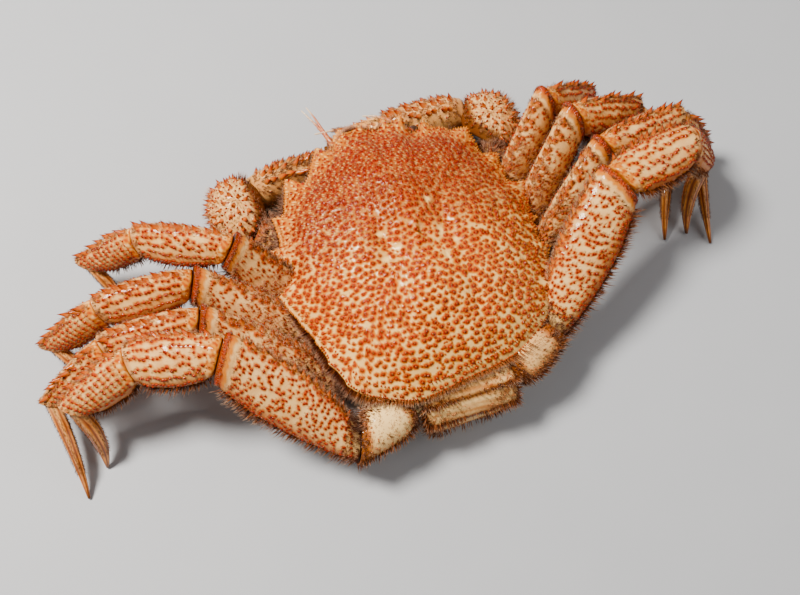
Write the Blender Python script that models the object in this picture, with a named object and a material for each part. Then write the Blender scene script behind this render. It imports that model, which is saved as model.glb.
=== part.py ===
"""A horsehair crab at life size, resting on its belly with all its legs folded.

Metres, +Z up. +X is the crab's right, +Y its front, and the origin is on the flat belly plate
that it rests on. Sizes below are in millimetres and are multiplied by MM where they are used.
"""

import bpy
import bmesh
import random
from math import asin, atan2, cos, pi, radians, sin, sqrt
from mathutils import Vector
from mathutils.bvhtree import BVHTree

MM = 0.001
GAP = 0.3 * MM
RING_STEP = 0.4 * MM
SHARPEST_STRETCH = 1.8
UP = Vector((0, 0, 1))
SIDES = {"left": -1, "right": 1}

# Body
BELLY_TO_RIM = 27.0
RIM_LIFT = 1.6
DOME_HEIGHT = 19.5
SHELL_OUTLINE = (
    (0, 49), (10, 49.5), (16.5, 44.5), (21.5, 45.8), (33, 38.5), (42.5, 26), (47, 12),
    (48, 0), (47.5, -13), (45, -29), (33, -45), (19, -52), (0, -53.5),
)
SHELL_DIRECTIONS = 48
LOWER_RINGS = ((0.74, 12.0), (0.87, 17.5), (0.965, 23.5))
TOP_RINGS = (1.0, 0.97, 0.88, 0.74, 0.57, 0.38, 0.19)
SHELL_RELIEF = (
    # height, across, along, half width, half length of each swelling or groove of the shell
    (1.2, 0, 14, 13, 14),
    (1.3, 27, -10, 12, 18),
    (1.0, 0, -21, 9, 9),
    (-1.5, 11, 3, 3.5, 9),
    (-0.9, 0, -7, 10, 2.6),
)
ABDOMEN_PATH = (
    # along, height, half width of the folded tail plate, from under the shell to its tip
    (-50, 26.5, 14.5), (-57, 24.5, 15), (-62, 18, 14.5), (-61, 9, 13.5), (-55, 3.2, 12.5),
    (-48, 1.75, 11.5), (-34, 1.75, 10), (-20, 1.75, 7.5), (-8, 1.75, 4),
)
ABDOMEN_HALF_THICKNESS = 1.75
THORAX_RINGS = (
    # along, lowest, highest, half width of the flat, half width of the side
    (-60, 11, 19, 8, 10), (-55, 5, 23, 11, 15), (-49, 1.5, 24, 13, 20), (-43, 0, 24, 15, 25),
    (-30, 0, 20, 20, 30),
    (0, 0, 16, 21, 30), (18, 0, 15, 17, 27), (29, 0, 14.5, 11, 21), (38, 11, 14, 8, 13),
)

# Teeth, spines and tubercles: how high each stands and how wide it is at the surface
RIM_TEETH = (
    # across, along, length, half width at the root, lean to the front
    (4.6, 47.5, 5.6, 1.9, 0.9), (11, 47, 4.8, 1.8, 0.9), (21, 43, 6.4, 2.1, 0.9),
    (26.5, 39.5, 3.6, 1.5, 0.8), (31.5, 36, 6.2, 2.3, 0.7), (36.5, 30.5, 3.6, 1.5, 0.7),
    (40, 25, 6.6, 2.4, 0.6), (43, 18.5, 3.4, 1.5, 0.6), (44.4, 11.5, 6.8, 2.4, 0.55),
    (45.3, 5, 3.2, 1.4, 0.5), (45.6, -1.5, 6.2, 2.3, 0.45), (45.3, -8, 3.2, 1.4, 0.4),
    (44.8, -14.5, 6.2, 2.3, 0.4), (44, -22, 3.4, 1.5, 0.3), (42, -30, 8.0, 2.6, 0.3),
    (36, -37.5, 3.2, 1.4, 0.1), (30.5, -42.5, 3.6, 1.5, 0.0),
)
TOOTH_ROOT = 1.6
TOOTH_LIFT = 0.4
TOOTH_CLIMB = 0.12
TOOTH_FORWARD_SHARE = 0.75
SHELL_BUMP_STEP = 7.6
SHELL_BUMP_ROW_STEP = 6.6
SHELL_BUMP_ROWS = 16
SHELL_BUMPS_EACH_SIDE = 8
SHELL_BUMP_START = -52
SHELL_BUMP_WAVE = (1.5, 9)
SHELL_BUMP_SHIFT = 1.0
SHELL_BUMP_EDGE = 0.9
SHELL_BUMP_CENTRE = 0.08
SHELL_BUMP = (1.5, 1.45)
SHELL_BUMP_LEAN = 0.25
FRONT_START = 12
FRONT_SIZE = 0.7
SIZE_SPREAD = (0.85, 1.15)
SPINE_SIDES = 4
# Rows of spines on each kind of segment: where they start and end along it, how many, the angle
# round it from the upper edge in degrees towards the face that looks up, length, half width
LEG_SPINES = {
    "merus": (
        (0.16, 0.95, 7, 4, 2.6, 1.15), (0.25, 0.93, 4, 42, 1.5, 1.1), (0.3, 0.88, 4, 82, 1.4, 1.1),
        (0.28, 0.9, 3, 128, 1.4, 1.1), (0.3, 0.95, 4, 180, 2.0, 1.1),
    ),
    "carpus": (
        (0.12, 0.9, 6, 4, 2.8, 1.15), (0.2, 0.86, 4, 48, 1.8, 1.1), (0.2, 0.9, 3, 100, 1.6, 1.1),
        (0.3, 0.9, 2, -45, 1.8, 1.1),
    ),
    "propodus": (
        (0.1, 0.92, 6, 6, 3.0, 1.1), (0.15, 0.85, 4, 60, 1.5, 1.0), (0.3, 0.85, 3, 120, 1.5, 1.0),
    ),
}
SPINE_LEAN = 0.55
CLAW_SPINES = {
    "merus": ((0.3, 0.92, 4, 10, 2.8, 1.3), (0.3, 0.9, 3, 70, 1.8, 1.2)),
    "palm": (
        (0.08, 0.52, 6, -14, 3.2, 1.3), (0.1, 0.54, 5, 24, 2.8, 1.3), (0.1, 0.56, 5, 58, 2.0, 1.2),
        (0.14, 0.7, 6, 92, 1.7, 1.2), (0.14, 0.8, 6, 128, 1.7, 1.2),
    ),
    "finger": ((0.12, 0.5, 3, 0, 2.0, 1.0),),
}
CLAW_SPINE_LEAN = 0.3
CARPUS_SPINES = 26
CARPUS_SPINE = (3.0, 1.4)
CARPUS_SPINE_REACH = 1.75
HINGE_CLEARANCE = 8.5 * MM
SPINE_ROOT = 1.5
TURN_SPREAD = 8
CLEARANCE = 0.8 * MM
NEAR = 6 * MM
SEED = 43

# Head
EYE_BASE = (11.5, 42.5, 24.8)
EYE_TIP = (18.8, 46.8, 25.8)
EYE_RINGS = ((0, 2.0), (0.35, 2.1), (0.5, 2.7), (0.75, 2.8), (0.93, 2.0), (1, 0.9))
ANTENNA_PATH = {
    "left": ((9.5, 43, 22.8), (13, 48.5, 24.8), (15, 54, 25.4), (17.5, 60, 25.6), (20.6, 66.5, 25.6)),
    "right": (
        (9.5, 43, 21.5), (12.5, 48.5, 22.9), (10.5, 53.5, 23.4), (5.5, 57, 23.2), (1, 58.5, 22.8),
    ),
}
ANTENNA_RADII = (2.3, 1.9, 1.0, 0.7, 0.35)
ANTENNULE_PATHS = (
    ((2, 42, 23.5), (-4.5, 49.5, 24.8), (-11, 51.6, 25.6), (-19, 52.4, 26)),
    ((-2, 42, 22), (3.5, 48.5, 22.5), (6, 52.5, 20.5), (4.5, 55, 19)),
)
ANTENNULE_RADII = (1.9, 1.2, 0.8, 0.4)
MOUTH_TOP = (5.6, 44.2, 18.5)
MOUTH_FOOT = (5.6, 31.6, 2.6)
MOUTH_RINGS = ((0, 3.6, 1.6), (0.3, 4.9, 2.1), (0.62, 4.9, 2.1), (0.7, 4.5, 1.9), (1, 3.2, 1.5))

# Walking legs, numbered two to five from the front
SEGMENTS = ("coxa", "merus", "carpus", "propodus", "dactyl")
LEG_ROOT = {2: (25, 1, 7), 3: (26, -12, 7), 4: (26, -26, 8), 5: (19.5, -52, 21)}
LEG_LENGTHS = {
    2: (13.5, 49, 32, 27, 28), 3: (13.5, 56.5, 31.5, 28, 30),
    4: (14, 59, 32.5, 29.5, 37), 5: (22.2, 58, 30.5, 27.5, 30),
}
LEG_GIRTH = {2: 0.96, 3: 1.0, 4: 1.0, 5: 1.1}
LEG_LEAN = {
    "left": {2: 28, 3: 26, 4: 24, 5: 56},
    "right": {2: 28, 3: 28, 4: 32, 5: 76},
}
TIP_HEIGHT = 0.5
# Each segment's turn to the front from straight out, and its climb, in degrees. The last
# segment has no climb of its own, because its tip comes down to the floor.
LEG_POSE = {
    ("left", 2): ((-34, -3), (41, 44), (27, -9), (11, -41), -109),
    ("left", 3): ((-31, 5), (36, 26), (2, -3), (-4, -41), -115),
    ("left", 4): ((-39, 3), (36, 25), (4, -8), (-20, -28), -92),
    ("left", 5): ((-18, -1), (47, 24), (17, -14), (-12, -28), -97),
    ("right", 2): ((27, 7), (46, 32), (10, -42), (-66, -15), -115),
    ("right", 3): ((20, 6), (45, 33), (2, -28), (-56, -35), -112),
    ("right", 4): ((23, 7), (39, 30), (7, -11), (-21, -54), -102),
    ("right", 5): ((27, 3), (46, 23), (11, -2), (-4, -58), -115),
}
# Along the segment from 0 to 1, half breadth and half thickness
LEG_PROFILES = {
    "coxa": ((0, 4.4, 4.0), (0.3, 5.6, 4.6), (0.56, 5.5, 4.5), (1, 5.2, 4.1)),
    "merus": (
        (0, 4.9, 4.0), (0.12, 6.6, 4.5), (0.35, 9.2, 4.9), (0.62, 10.0, 5.0), (0.85, 9.0, 4.8),
        (0.93, 8.6, 5.0), (1, 7.4, 4.4),
    ),
    "carpus": ((0, 5.6, 4.2), (0.2, 7.7, 5.3), (0.55, 8.6, 5.8), (0.86, 7.8, 5.2), (1, 6.4, 4.4)),
    "propodus": ((0, 5.6, 4.3), (0.25, 7.2, 4.9), (0.75, 6.2, 4.4), (1, 4.4, 3.4)),
    "dactyl": ((0, 3.2, 2.6), (0.25, 3.2, 2.4), (0.6, 2.3, 1.7), (0.88, 1.1, 0.9), (1, 0.5, 0.5)),
}
REAR_COXA_PROFILE = ((0, 6.0, 6.0), (0.3, 8.6, 7.8), (0.62, 8.2, 7.4), (1, 6.4, 5.2))
DACTYL_BOW = 2.6
LIMB_SIDES = 10
CLAW_LEAN = 20
EYE_SIDES = 10
FEELER_SIDES = 7
MOUTH_SIDES = 8

# Claw legs: where each joint is, from the root out to the fingertips
CLAW_JOINTS = {
    "left": ((22, 12, 8), (31, 15, 9.5), (50.5, 28.5, 16.5), (48.5, 43.5, 17), (-10, 48, 7.5)),
    "right": ((22, 12, 8), (31, 17, 9.5), (49, 33, 16.5), (40.5, 51, 16.5), (-15, 57.5, 7)),
}
CARPUS_CENTRE = {"left": (54, 38, 17), "right": (47.5, 43, 17)}
CARPUS_RADII = (11.5, 12.5, 11)
CLAW_COXA_PROFILE = ((0, 5, 5), (0.5, 6, 5.6), (1, 6, 5.4))
CLAW_MERUS_PROFILE = ((0, 5.6, 5.2), (0.4, 7.6, 6.4), (0.8, 8.0, 6.8), (1, 6.6, 5.8))
# Along the claw from the wrist, then its lower edge, upper edge and half thickness
PALM_PROFILE = (
    (0, -6, 6, 5.5), (5, -10, 10, 6.6), (14, -11.5, 11.5, 7.3), (25, -11.5, 11, 7.1),
    (31.5, -10.8, 10, 6.6), (32.5, -10.4, -0.6, 5.8), (42, -8.8, -0.9, 4.2), (50, -6, -1, 2.8),
    (56, -2.6, -1.1, 1),
)
FINGER_PROFILE = (
    (33, 0, 9.2, 5.2), (40, -0.1, 8.4, 4.3), (47, -0.2, 6.4, 3.2), (54.5, -0.4, 1.6, 1.1),
)

IVORY = (0.86, 0.74, 0.55)
CREAM = (0.83, 0.62, 0.45)
ORANGE = (0.80, 0.36, 0.12)
AMBER = (0.55, 0.28, 0.08)
DARK_EYE = (0.03, 0.03, 0.05)


def clear_scene():
    for item in list(bpy.data.objects):
        bpy.data.objects.remove(item)


def shell_material(name, colour, roughness):
    material = bpy.data.materials.new(name)
    material.use_nodes = True
    shader = material.node_tree.nodes["Principled BSDF"]
    shader.inputs["Base Color"].default_value = (*colour, 1)
    shader.inputs["Roughness"].default_value = roughness
    shader.inputs["Metallic"].default_value = 0
    return material


def place(side, point):
    """A named point of the right side, in metres, mirrored for the left side."""
    across, along, height = point
    return Vector((SIDES[side] * across, along, height)) * MM


def whole_outline(half_outline):
    """The whole outline as corners in order of their direction from the middle."""
    right = [Vector(corner) for corner in half_outline]
    left = [Vector((-corner.x, corner.y)) for corner in reversed(right[1:-1])]
    return right + left


def outline_radius(corners, direction):
    """How far the outline is from the middle in a direction."""
    for first, second in zip(corners, corners[1:] + corners[:1]):
        edge = second - first
        turn = direction.x * edge.y - direction.y * edge.x
        if abs(turn) < 1e-9:
            continue
        reach = (first.x * edge.y - first.y * edge.x) / turn
        along = (first.x * direction.y - first.y * direction.x) / turn
        if reach > 0 and -1e-6 <= along <= 1 + 1e-6:
            return reach
    return 0.0


def rim_height(across, along):
    return BELLY_TO_RIM + RIM_LIFT * sin(atan2(along, abs(across) + 1e-6)) ** 4


def shell_height(across, along, share):
    """Height of the shell's top where share is 0 in the middle and 1 at the rim."""
    height = rim_height(across, along) + DOME_HEIGHT * max(0.0, 1 - share ** 2.5) ** 0.85
    for rise, middle_x, middle_y, half_x, half_y in SHELL_RELIEF:
        away = ((abs(across) - middle_x) / half_x) ** 2 + ((along - middle_y) / half_y) ** 2
        height += rise * 2.718 ** -away
    return height


def add_object(name, verts, faces, material):
    mesh = bpy.data.meshes.new(name)
    mesh.from_pydata([tuple(v) for v in verts], [], faces)
    build = bmesh.new()
    build.from_mesh(mesh)
    bmesh.ops.recalc_face_normals(build, faces=build.faces)
    build.to_mesh(mesh)
    build.free()
    mesh.shade_smooth()
    mesh.set_sharp_from_angle(angle=radians(50))
    if material is not None:
        mesh.materials.append(material)
    item = bpy.data.objects.new(name, mesh)
    bpy.context.scene.collection.objects.link(item)
    return item


def loft(name, rings, material):
    """A closed body through rings of as many points each."""
    count = len(rings[0])
    verts = [point for ring in rings for point in ring]
    faces = []
    for row in range(len(rings) - 1):
        for step in range(count):
            here = row * count + step
            beside = row * count + (step + 1) % count
            faces.append((here, beside, beside + count, here + count))
    faces.append(tuple(range(count)))
    faces.append(tuple(range(len(verts) - count, len(verts))))
    return add_object(name, verts, faces, material)


def make_carapace():
    corners = whole_outline(SHELL_OUTLINE)
    loops = []
    for share, level in LOWER_RINGS + tuple((share, None) for share in TOP_RINGS):
        loop = []
        for step in range(SHELL_DIRECTIONS):
            angle = 2 * pi * step / SHELL_DIRECTIONS
            direction = Vector((sin(angle), cos(angle)))
            point = direction * outline_radius(corners, direction) * share
            height = level or shell_height(point.x, point.y, share)
            loop.append(Vector((point.x, point.y, height)) * MM)
        loops.append(loop)
    verts = [point for loop in loops for point in loop]
    faces = []
    for row in range(len(loops) - 1):
        for step in range(SHELL_DIRECTIONS):
            here = row * SHELL_DIRECTIONS + step
            beside = row * SHELL_DIRECTIONS + (step + 1) % SHELL_DIRECTIONS
            faces.append((here, beside, beside + SHELL_DIRECTIONS, here + SHELL_DIRECTIONS))
    faces.append(tuple(range(SHELL_DIRECTIONS)))
    top = len(verts)
    verts.append(Vector((0, 0, shell_height(0, 0, 0))) * MM)
    last = (len(loops) - 1) * SHELL_DIRECTIONS
    for step in range(SHELL_DIRECTIONS):
        faces.append((last + step, last + (step + 1) % SHELL_DIRECTIONS, top))
    return add_object("carapace", verts, faces, shell_material("carapace", ORANGE, 0.45))


def shell_point(across, along):
    """A point on the shell's top, how far out it is as a share, and the way out of it."""
    corners = whole_outline(SHELL_OUTLINE)

    def height_at(x, y):
        reach = outline_radius(corners, Vector((x, y)).normalized())
        share = sqrt(x * x + y * y) / reach
        return shell_height(x, y, min(share, 1.0)), share

    height, share = height_at(across, along)
    slope_x = height_at(across + 0.5, along)[0] - height_at(across - 0.5, along)[0]
    slope_y = height_at(across, along + 0.5)[0] - height_at(across, along - 0.5)[0]
    return Vector((across, along, height)) * MM, share, Vector((-slope_x, -slope_y, 1)).normalized()


def carapace_spots(chance):
    """Tubercles in staggered rows over the shell, smaller to the front, and the rim's teeth."""
    spots = []
    height, half_width = SHELL_BUMP
    wave_height, wave_width = SHELL_BUMP_WAVE
    for row in range(SHELL_BUMP_ROWS):
        row_middle = SHELL_BUMP_START + row * SHELL_BUMP_ROW_STEP
        for column in range(-SHELL_BUMPS_EACH_SIDE, SHELL_BUMPS_EACH_SIDE + 1):
            across = (column + 0.5 * (row % 2)) * SHELL_BUMP_STEP
            across += chance.uniform(-SHELL_BUMP_SHIFT, SHELL_BUMP_SHIFT)
            along = row_middle + wave_height * sin(across / wave_width)
            along += chance.uniform(-SHELL_BUMP_SHIFT, SHELL_BUMP_SHIFT)
            root, share, way = shell_point(across, along)
            if share < SHELL_BUMP_CENTRE or share > SHELL_BUMP_EDGE:
                continue
            size = chance.uniform(*SIZE_SPREAD)
            if along > FRONT_START:
                size *= FRONT_SIZE
            way = way + Vector((0, SHELL_BUMP_LEAN, 0))
            spots.append(spot(root, way, height * size, half_width * size))
    for side in SIDES:
        for across, along, length, half_width, lean in RIM_TEETH:
            out = Vector((across, along * TOOTH_FORWARD_SHARE, 0)).normalized()
            out += Vector((0, lean, TOOTH_CLIMB))
            out.x *= SIDES[side]
            root = place(side, (across, along, rim_height(across, along) + TOOTH_LIFT))
            spots.append(spot(root, out, length, half_width, TOOTH_ROOT))
    return spots


def make_abdomen():
    rings = []
    points = [Vector((0, along, height)) for along, height, _ in ABDOMEN_PATH]
    for index, (_, _, half_width) in enumerate(ABDOMEN_PATH):
        before = points[max(index - 1, 0)]
        after = points[min(index + 1, len(points) - 1)]
        lie = (after - before).normalized()
        out = Vector((0, lie.z, -lie.y)) * ABDOMEN_HALF_THICKNESS
        bevel = half_width - 1.2
        section = (
            (-half_width, 0), (-bevel, 1), (0, 1), (bevel, 1),
            (half_width, 0), (bevel, -1), (0, -1), (-bevel, -1),
        )
        rings.append([(points[index] + Vector((x, 0, 0)) + out * y) * MM for x, y in section])
    return loft("abdomen", rings, shell_material("abdomen", IVORY, 0.5))


def make_thorax():
    rings = []
    for along, low, high, flat, side in THORAX_RINGS:
        middle = low + 0.5 * (high - low)
        half = ((flat, low), (side, middle), (side - 1, high - 1), (0.6 * side, high))
        ring = [Vector((x, along, z)) * MM for x, z in half]
        ring += [Vector((-x, along, z)) * MM for x, z in reversed(half)]
        rings.append(ring)
    return loft("thorax", rings, shell_material("thorax", IVORY, 0.5))


def round_rings(points, radii, sides):
    """Rings of a round tube along a run of points."""
    rings = []
    for index, (point, radius) in enumerate(zip(points, radii)):
        before = points[max(index - 1, 0)]
        after = points[min(index + 1, len(points) - 1)]
        lie = (after - before).normalized()
        across = lie.cross(UP).normalized()
        over = across.cross(lie)
        ring = []
        for step in range(sides):
            angle = 2 * pi * step / sides
            ring.append(point + (across * cos(angle) + over * sin(angle)) * radius * MM)
        rings.append(ring)
    return rings


def make_eye(side):
    base = place(side, EYE_BASE)
    tip = place(side, EYE_TIP)
    points = [base.lerp(tip, share) for share, _ in EYE_RINGS]
    rings = round_rings(points, [radius for _, radius in EYE_RINGS], EYE_SIDES)
    return loft("eye_" + side, rings, shell_material("eye_" + side, DARK_EYE, 0.15))


def make_antenna(side):
    points = [place(side, point) for point in ANTENNA_PATH[side]]
    rings = round_rings(points, ANTENNA_RADII, FEELER_SIDES)
    return loft("antenna_" + side, rings, shell_material("antenna_" + side, AMBER, 0.5))


def make_antennules():
    material = shell_material("antennules", AMBER, 0.5)
    feelers = []
    for path in ANTENNULE_PATHS:
        points = [Vector(point) * MM for point in path]
        rings = round_rings(points, ANTENNULE_RADII, FEELER_SIDES)
        feelers.append(loft("feeler", rings, material))
    feelers[0].name = "antennules"
    fuse(feelers[0], feelers[1:])
    return feelers[0]


def make_maxilliped(side):
    top = place(side, MOUTH_TOP)
    foot = place(side, MOUTH_FOOT)
    lie = (foot - top).normalized()
    across = Vector((1, 0, 0))
    over = across.cross(lie)
    rings = []
    for share, half_width, half_thickness in MOUTH_RINGS:
        middle = top.lerp(foot, share)
        ring = []
        for step in range(MOUTH_SIDES):
            angle = 2 * pi * (step + 0.5) / MOUTH_SIDES
            reach = across * cos(angle) * half_width + over * sin(angle) * half_thickness
            ring.append(middle + reach * MM)
        rings.append(ring)
    return loft("maxilliped_" + side, rings, shell_material("maxilliped_" + side, CREAM, 0.5))


def heading(side, turn, climb):
    """A direction from degrees to the front and degrees up."""
    turn = radians(turn)
    climb = radians(climb)
    return Vector((SIDES[side] * cos(turn) * cos(climb), sin(turn) * cos(climb), sin(climb)))


def leg_joints(side, number):
    joints = [place(side, LEG_ROOT[number])]
    lengths = LEG_LENGTHS[number]
    pose = LEG_POSE[side, number]
    for length, (turn, climb) in zip(lengths[:-1], pose[:-1]):
        joints.append(joints[-1] + heading(side, turn, climb) * length * MM)
    drop = joints[-1].z / MM - TIP_HEIGHT
    climb = -asin(drop / lengths[-1]) * 180 / pi
    joints.append(joints[-1] + heading(side, pose[-1], climb) * lengths[-1] * MM)
    return joints


def broad_way(lie, lean):
    """The way a segment's upper edge points: up, leaned to the front by some degrees."""
    up = (UP - lie * lie.z).normalized()
    front = lie.cross(up)
    if front.y < 0:
        front = -front
    return up * cos(radians(lean)) + front * sin(radians(lean))


def joint_plane(before, joint, after):
    """The way across a joint, halfway between the two segments that meet in it."""
    return ((joint - before).normalized() + (after - joint).normalized()).normalized()


def profile_at(profile, share):
    """Half sizes of a segment part of the way along it."""
    for before, after in zip(profile, profile[1:]):
        if share <= after[0]:
            step = (share - before[0]) / (after[0] - before[0])
            return [a + (b - a) * step for a, b in zip(before[1:], after[1:])]
    return list(profile[-1][1:])


def spine(root, way, length, half_width, sunk):
    """A closed cone that stands on a surface point, with its root sunk under it."""
    across = way.orthogonal().normalized()
    over = way.cross(across)
    wide = half_width * (length + sunk) / length * MM
    verts = []
    for step in range(SPINE_SIDES):
        angle = 2 * pi * step / SPINE_SIDES
        verts.append(root - way * sunk * MM + (across * cos(angle) + over * sin(angle)) * wide)
    verts.append(root + way * length * MM)
    faces = [tuple(range(SPINE_SIDES))]
    faces += [(step, (step + 1) % SPINE_SIDES, SPINE_SIDES) for step in range(SPINE_SIDES)]
    return add_object("spine", verts, faces, None)


def spot(root, way, length, half_width, sunk=SPINE_ROOT):
    """What a spine is made from, so that it can be tested before it is made."""
    return root, way.normalized(), length, half_width, sunk


def limb_spots(start, end, profile, lean, rows, chance):
    """Rows of spines along a segment, leaning to its far end."""
    lie = (end - start).normalized()
    breadth = broad_way(lie, lean)
    face = lie.cross(breadth)
    if face.z < 0:
        face = -face
    spots = []
    for first, last, count, turn, length, half_width in rows:
        for step in range(count):
            share = first + (last - first) * (step + 0.5) / count
            angle = radians(turn + chance.uniform(-TURN_SPREAD, TURN_SPREAD))
            half_breadth, half_thickness = profile_at(profile, share)
            out = breadth * cos(angle) * half_breadth + face * sin(angle) * half_thickness
            way = breadth * cos(angle) / half_breadth + face * sin(angle) / half_thickness
            way = way.normalized() + lie * SPINE_LEAN
            root = start.lerp(end, share) + out * MM
            size = chance.uniform(*SIZE_SPREAD)
            spots.append(spot(root, way, length * size, half_width))
    return spots


def slide_to_plane(point, lie, origin, normal):
    return point + lie * ((origin - point).dot(normal) / lie.dot(normal))


def hold_to_plane(rings, lie, joint, normal):
    """Put the first ring on the joint's plane, and no other ring behind it."""
    held = []
    for row, ring in enumerate(rings):
        origin = joint + normal * (GAP / 2 + row * RING_STEP)
        kept = []
        for point in ring:
            if row == 0 or (point - origin).dot(normal) < 0:
                point = slide_to_plane(point, lie, origin, normal)
            kept.append(point)
        held.append(kept)
    return held


def make_limb(name, start, end, start_normal, end_normal, profile, lean, material, bow=0.0):
    """One flattened segment between two joints, its ends cut to the joints' planes."""
    lie = (end - start).normalized()
    breadth = broad_way(lie, lean)
    thickness = lie.cross(breadth)
    rings = []
    for share, half_breadth, half_thickness in profile:
        middle = start.lerp(end, share) + breadth * bow * sin(pi * share) * MM
        ring = []
        for step in range(LIMB_SIDES):
            angle = 2 * pi * step / LIMB_SIDES
            reach = breadth * cos(angle) * half_breadth + thickness * sin(angle) * half_thickness
            ring.append(middle + reach * MM)
        rings.append(ring)
    if start_normal is not None:
        rings = hold_to_plane(rings, lie, start, start_normal)
    if end_normal is not None:
        rings = hold_to_plane(rings[::-1], -lie, end, -end_normal)[::-1]
    for ring in rings:
        for point in ring:
            point.z = max(point.z, 0.0)
    return loft(name, rings, material)


def make_walking_leg(side, number, chance, spots):
    joints = leg_joints(side, number)
    normals = [None]
    for index in range(1, 5):
        normals.append(joint_plane(joints[index - 1], joints[index], joints[index + 1]))
    normals.append(None)
    pieces = []
    for index, segment in enumerate(SEGMENTS):
        name = "_".join(("leg", str(number), segment, side))
        colour = AMBER if segment == "dactyl" else CREAM
        girth = LEG_GIRTH[number]
        profile = LEG_PROFILES[segment]
        if segment == "coxa" and number == 5:
            profile = REAR_COXA_PROFILE
        if segment != "coxa":
            profile = [(share, breadth * girth, depth * girth) for share, breadth, depth in profile]
        lean = LEG_LEAN[side][number]
        pieces.append(make_limb(
            name, joints[index], joints[index + 1], normals[index], normals[index + 1],
            profile, lean, shell_material(name, colour, 0.45),
            DACTYL_BOW if segment == "dactyl" else 0.0,
        ))
        rows = LEG_SPINES.get(segment, ())
        spots[name] = limb_spots(joints[index], joints[index + 1], profile, lean, rows, chance)
    return pieces


def hold_before(piece, origin, normal):
    """Flatten what of a piece lies past a plane on to the plane."""
    for vert in piece.data.vertices:
        past = (vert.co - origin).dot(normal)
        if past > 0:
            vert.co = vert.co - normal * past


def make_claw_carpus(side, elbow, elbow_normal, wrist, wrist_normal):
    name = "claw_carpus_" + side
    ball = bmesh.new()
    bmesh.ops.create_icosphere(ball, subdivisions=2, radius=1.0)
    verts = []
    centre = place(side, CARPUS_CENTRE[side])
    for vert in ball.verts:
        reach = Vector([size * part for size, part in zip(CARPUS_RADII, vert.co)])
        verts.append(centre + reach * MM)
    faces = [tuple(vert.index for vert in face.verts) for face in ball.faces]
    ball.free()
    piece = add_object(name, verts, faces, shell_material(name, CREAM, 0.45))
    hold_before(piece, elbow + elbow_normal * GAP / 2, -elbow_normal)
    hold_before(piece, wrist - wrist_normal * GAP / 2, wrist_normal)
    return piece


def carpus_spots(side, hinge_points, chance):
    """Spines spread evenly over the ball of a claw's wrist piece, off its two joints."""
    centre = place(side, CARPUS_CENTRE[side])
    spots = []
    for step in range(CARPUS_SPINES):
        height = 1 - CARPUS_SPINE_REACH * (step + 0.5) / CARPUS_SPINES
        angle = step * pi * (3 - sqrt(5)) + chance.uniform(-0.2, 0.2)
        round_way = sqrt(1 - height * height)
        unit = Vector((round_way * cos(angle), round_way * sin(angle), height))
        root = centre + Vector([size * part for size, part in zip(CARPUS_RADII, unit)]) * MM
        way = Vector([part / size for size, part in zip(CARPUS_RADII, unit)])
        if min((root - hinge).length for hinge in hinge_points) > HINGE_CLEARANCE:
            length, half_width = CARPUS_SPINE
            spots.append(spot(root, way, length * chance.uniform(*SIZE_SPREAD), half_width))
    return spots


def claw_spots(wrist, lie, profile, rows, chance):
    """Rows of spines along a claw, on its upper edge and its outer face."""
    over = (UP - lie * lie.z).normalized()
    out = lie.cross(over)
    if out.y < 0:
        out = -out
    length_of_claw = PALM_PROFILE[-1][0]
    spots = []
    for first, last, count, turn, length, half_width in rows:
        for step in range(count):
            share = first + (last - first) * (step + 0.5) / count
            along = profile[0][0] + share * (length_of_claw - profile[0][0])
            lower, upper, half_thickness = profile_at(profile, along)
            half_height = 0.5 * (upper - lower)
            angle = radians(turn + chance.uniform(-TURN_SPREAD, TURN_SPREAD))
            middle = wrist + (lie * along + over * 0.5 * (lower + upper)) * MM
            reach = over * cos(angle) * half_height + out * sin(angle) * half_thickness
            root = middle + reach * MM
            way = over * cos(angle) / half_height + out * sin(angle) / half_thickness
            way = way.normalized() + lie * CLAW_SPINE_LEAN
            spots.append(spot(root, way, length * chance.uniform(*SIZE_SPREAD), half_width))
    return spots


def claw_rings(wrist, lie, profile):
    over = (UP - lie * lie.z).normalized()
    out = lie.cross(over)
    rings = []
    for along, lower, upper, half_thickness in profile:
        middle = wrist + (lie * along + over * 0.5 * (lower + upper)) * MM
        half_height = 0.5 * (upper - lower)
        ring = []
        for step in range(LIMB_SIDES):
            angle = 2 * pi * step / LIMB_SIDES
            reach = over * cos(angle) * half_height + out * sin(angle) * half_thickness
            ring.append(middle + reach * MM)
        rings.append(ring)
    return rings


def make_claw_leg(side, chance, spots):
    root, hip, elbow, wrist, tip = [place(side, point) for point in CLAW_JOINTS[side]]
    hip_normal = joint_plane(root, hip, elbow)
    elbow_normal = (elbow - hip).normalized()
    lie = (tip - wrist).normalized()
    coxa = make_limb(
        "claw_coxa_" + side, root, hip, None, hip_normal, CLAW_COXA_PROFILE, CLAW_LEAN,
        shell_material("claw_coxa_" + side, IVORY, 0.5),
    )
    merus = make_limb(
        "claw_merus_" + side, hip, elbow, hip_normal, elbow_normal, CLAW_MERUS_PROFILE, CLAW_LEAN,
        shell_material("claw_merus_" + side, CREAM, 0.45),
    )
    carpus = make_claw_carpus(side, elbow, elbow_normal, wrist, lie)
    start = wrist + lie * GAP / 2
    palm = loft(
        "claw_palm_" + side, claw_rings(start, lie, PALM_PROFILE),
        shell_material("claw_palm_" + side, CREAM, 0.45),
    )
    finger = loft(
        "claw_finger_" + side, claw_rings(start, lie, FINGER_PROFILE),
        shell_material("claw_finger_" + side, AMBER, 0.4),
    )
    rows = CLAW_SPINES["merus"]
    spots[merus.name] = limb_spots(hip, elbow, CLAW_MERUS_PROFILE, CLAW_LEAN, rows, chance)
    spots[carpus.name] = carpus_spots(side, (elbow, wrist), chance)
    spots[palm.name] = claw_spots(start, lie, PALM_PROFILE, CLAW_SPINES["palm"], chance)
    spots[finger.name] = claw_spots(start, lie, FINGER_PROFILE, CLAW_SPINES["finger"], chance)
    return [coxa, merus, carpus, palm, finger]


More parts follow.
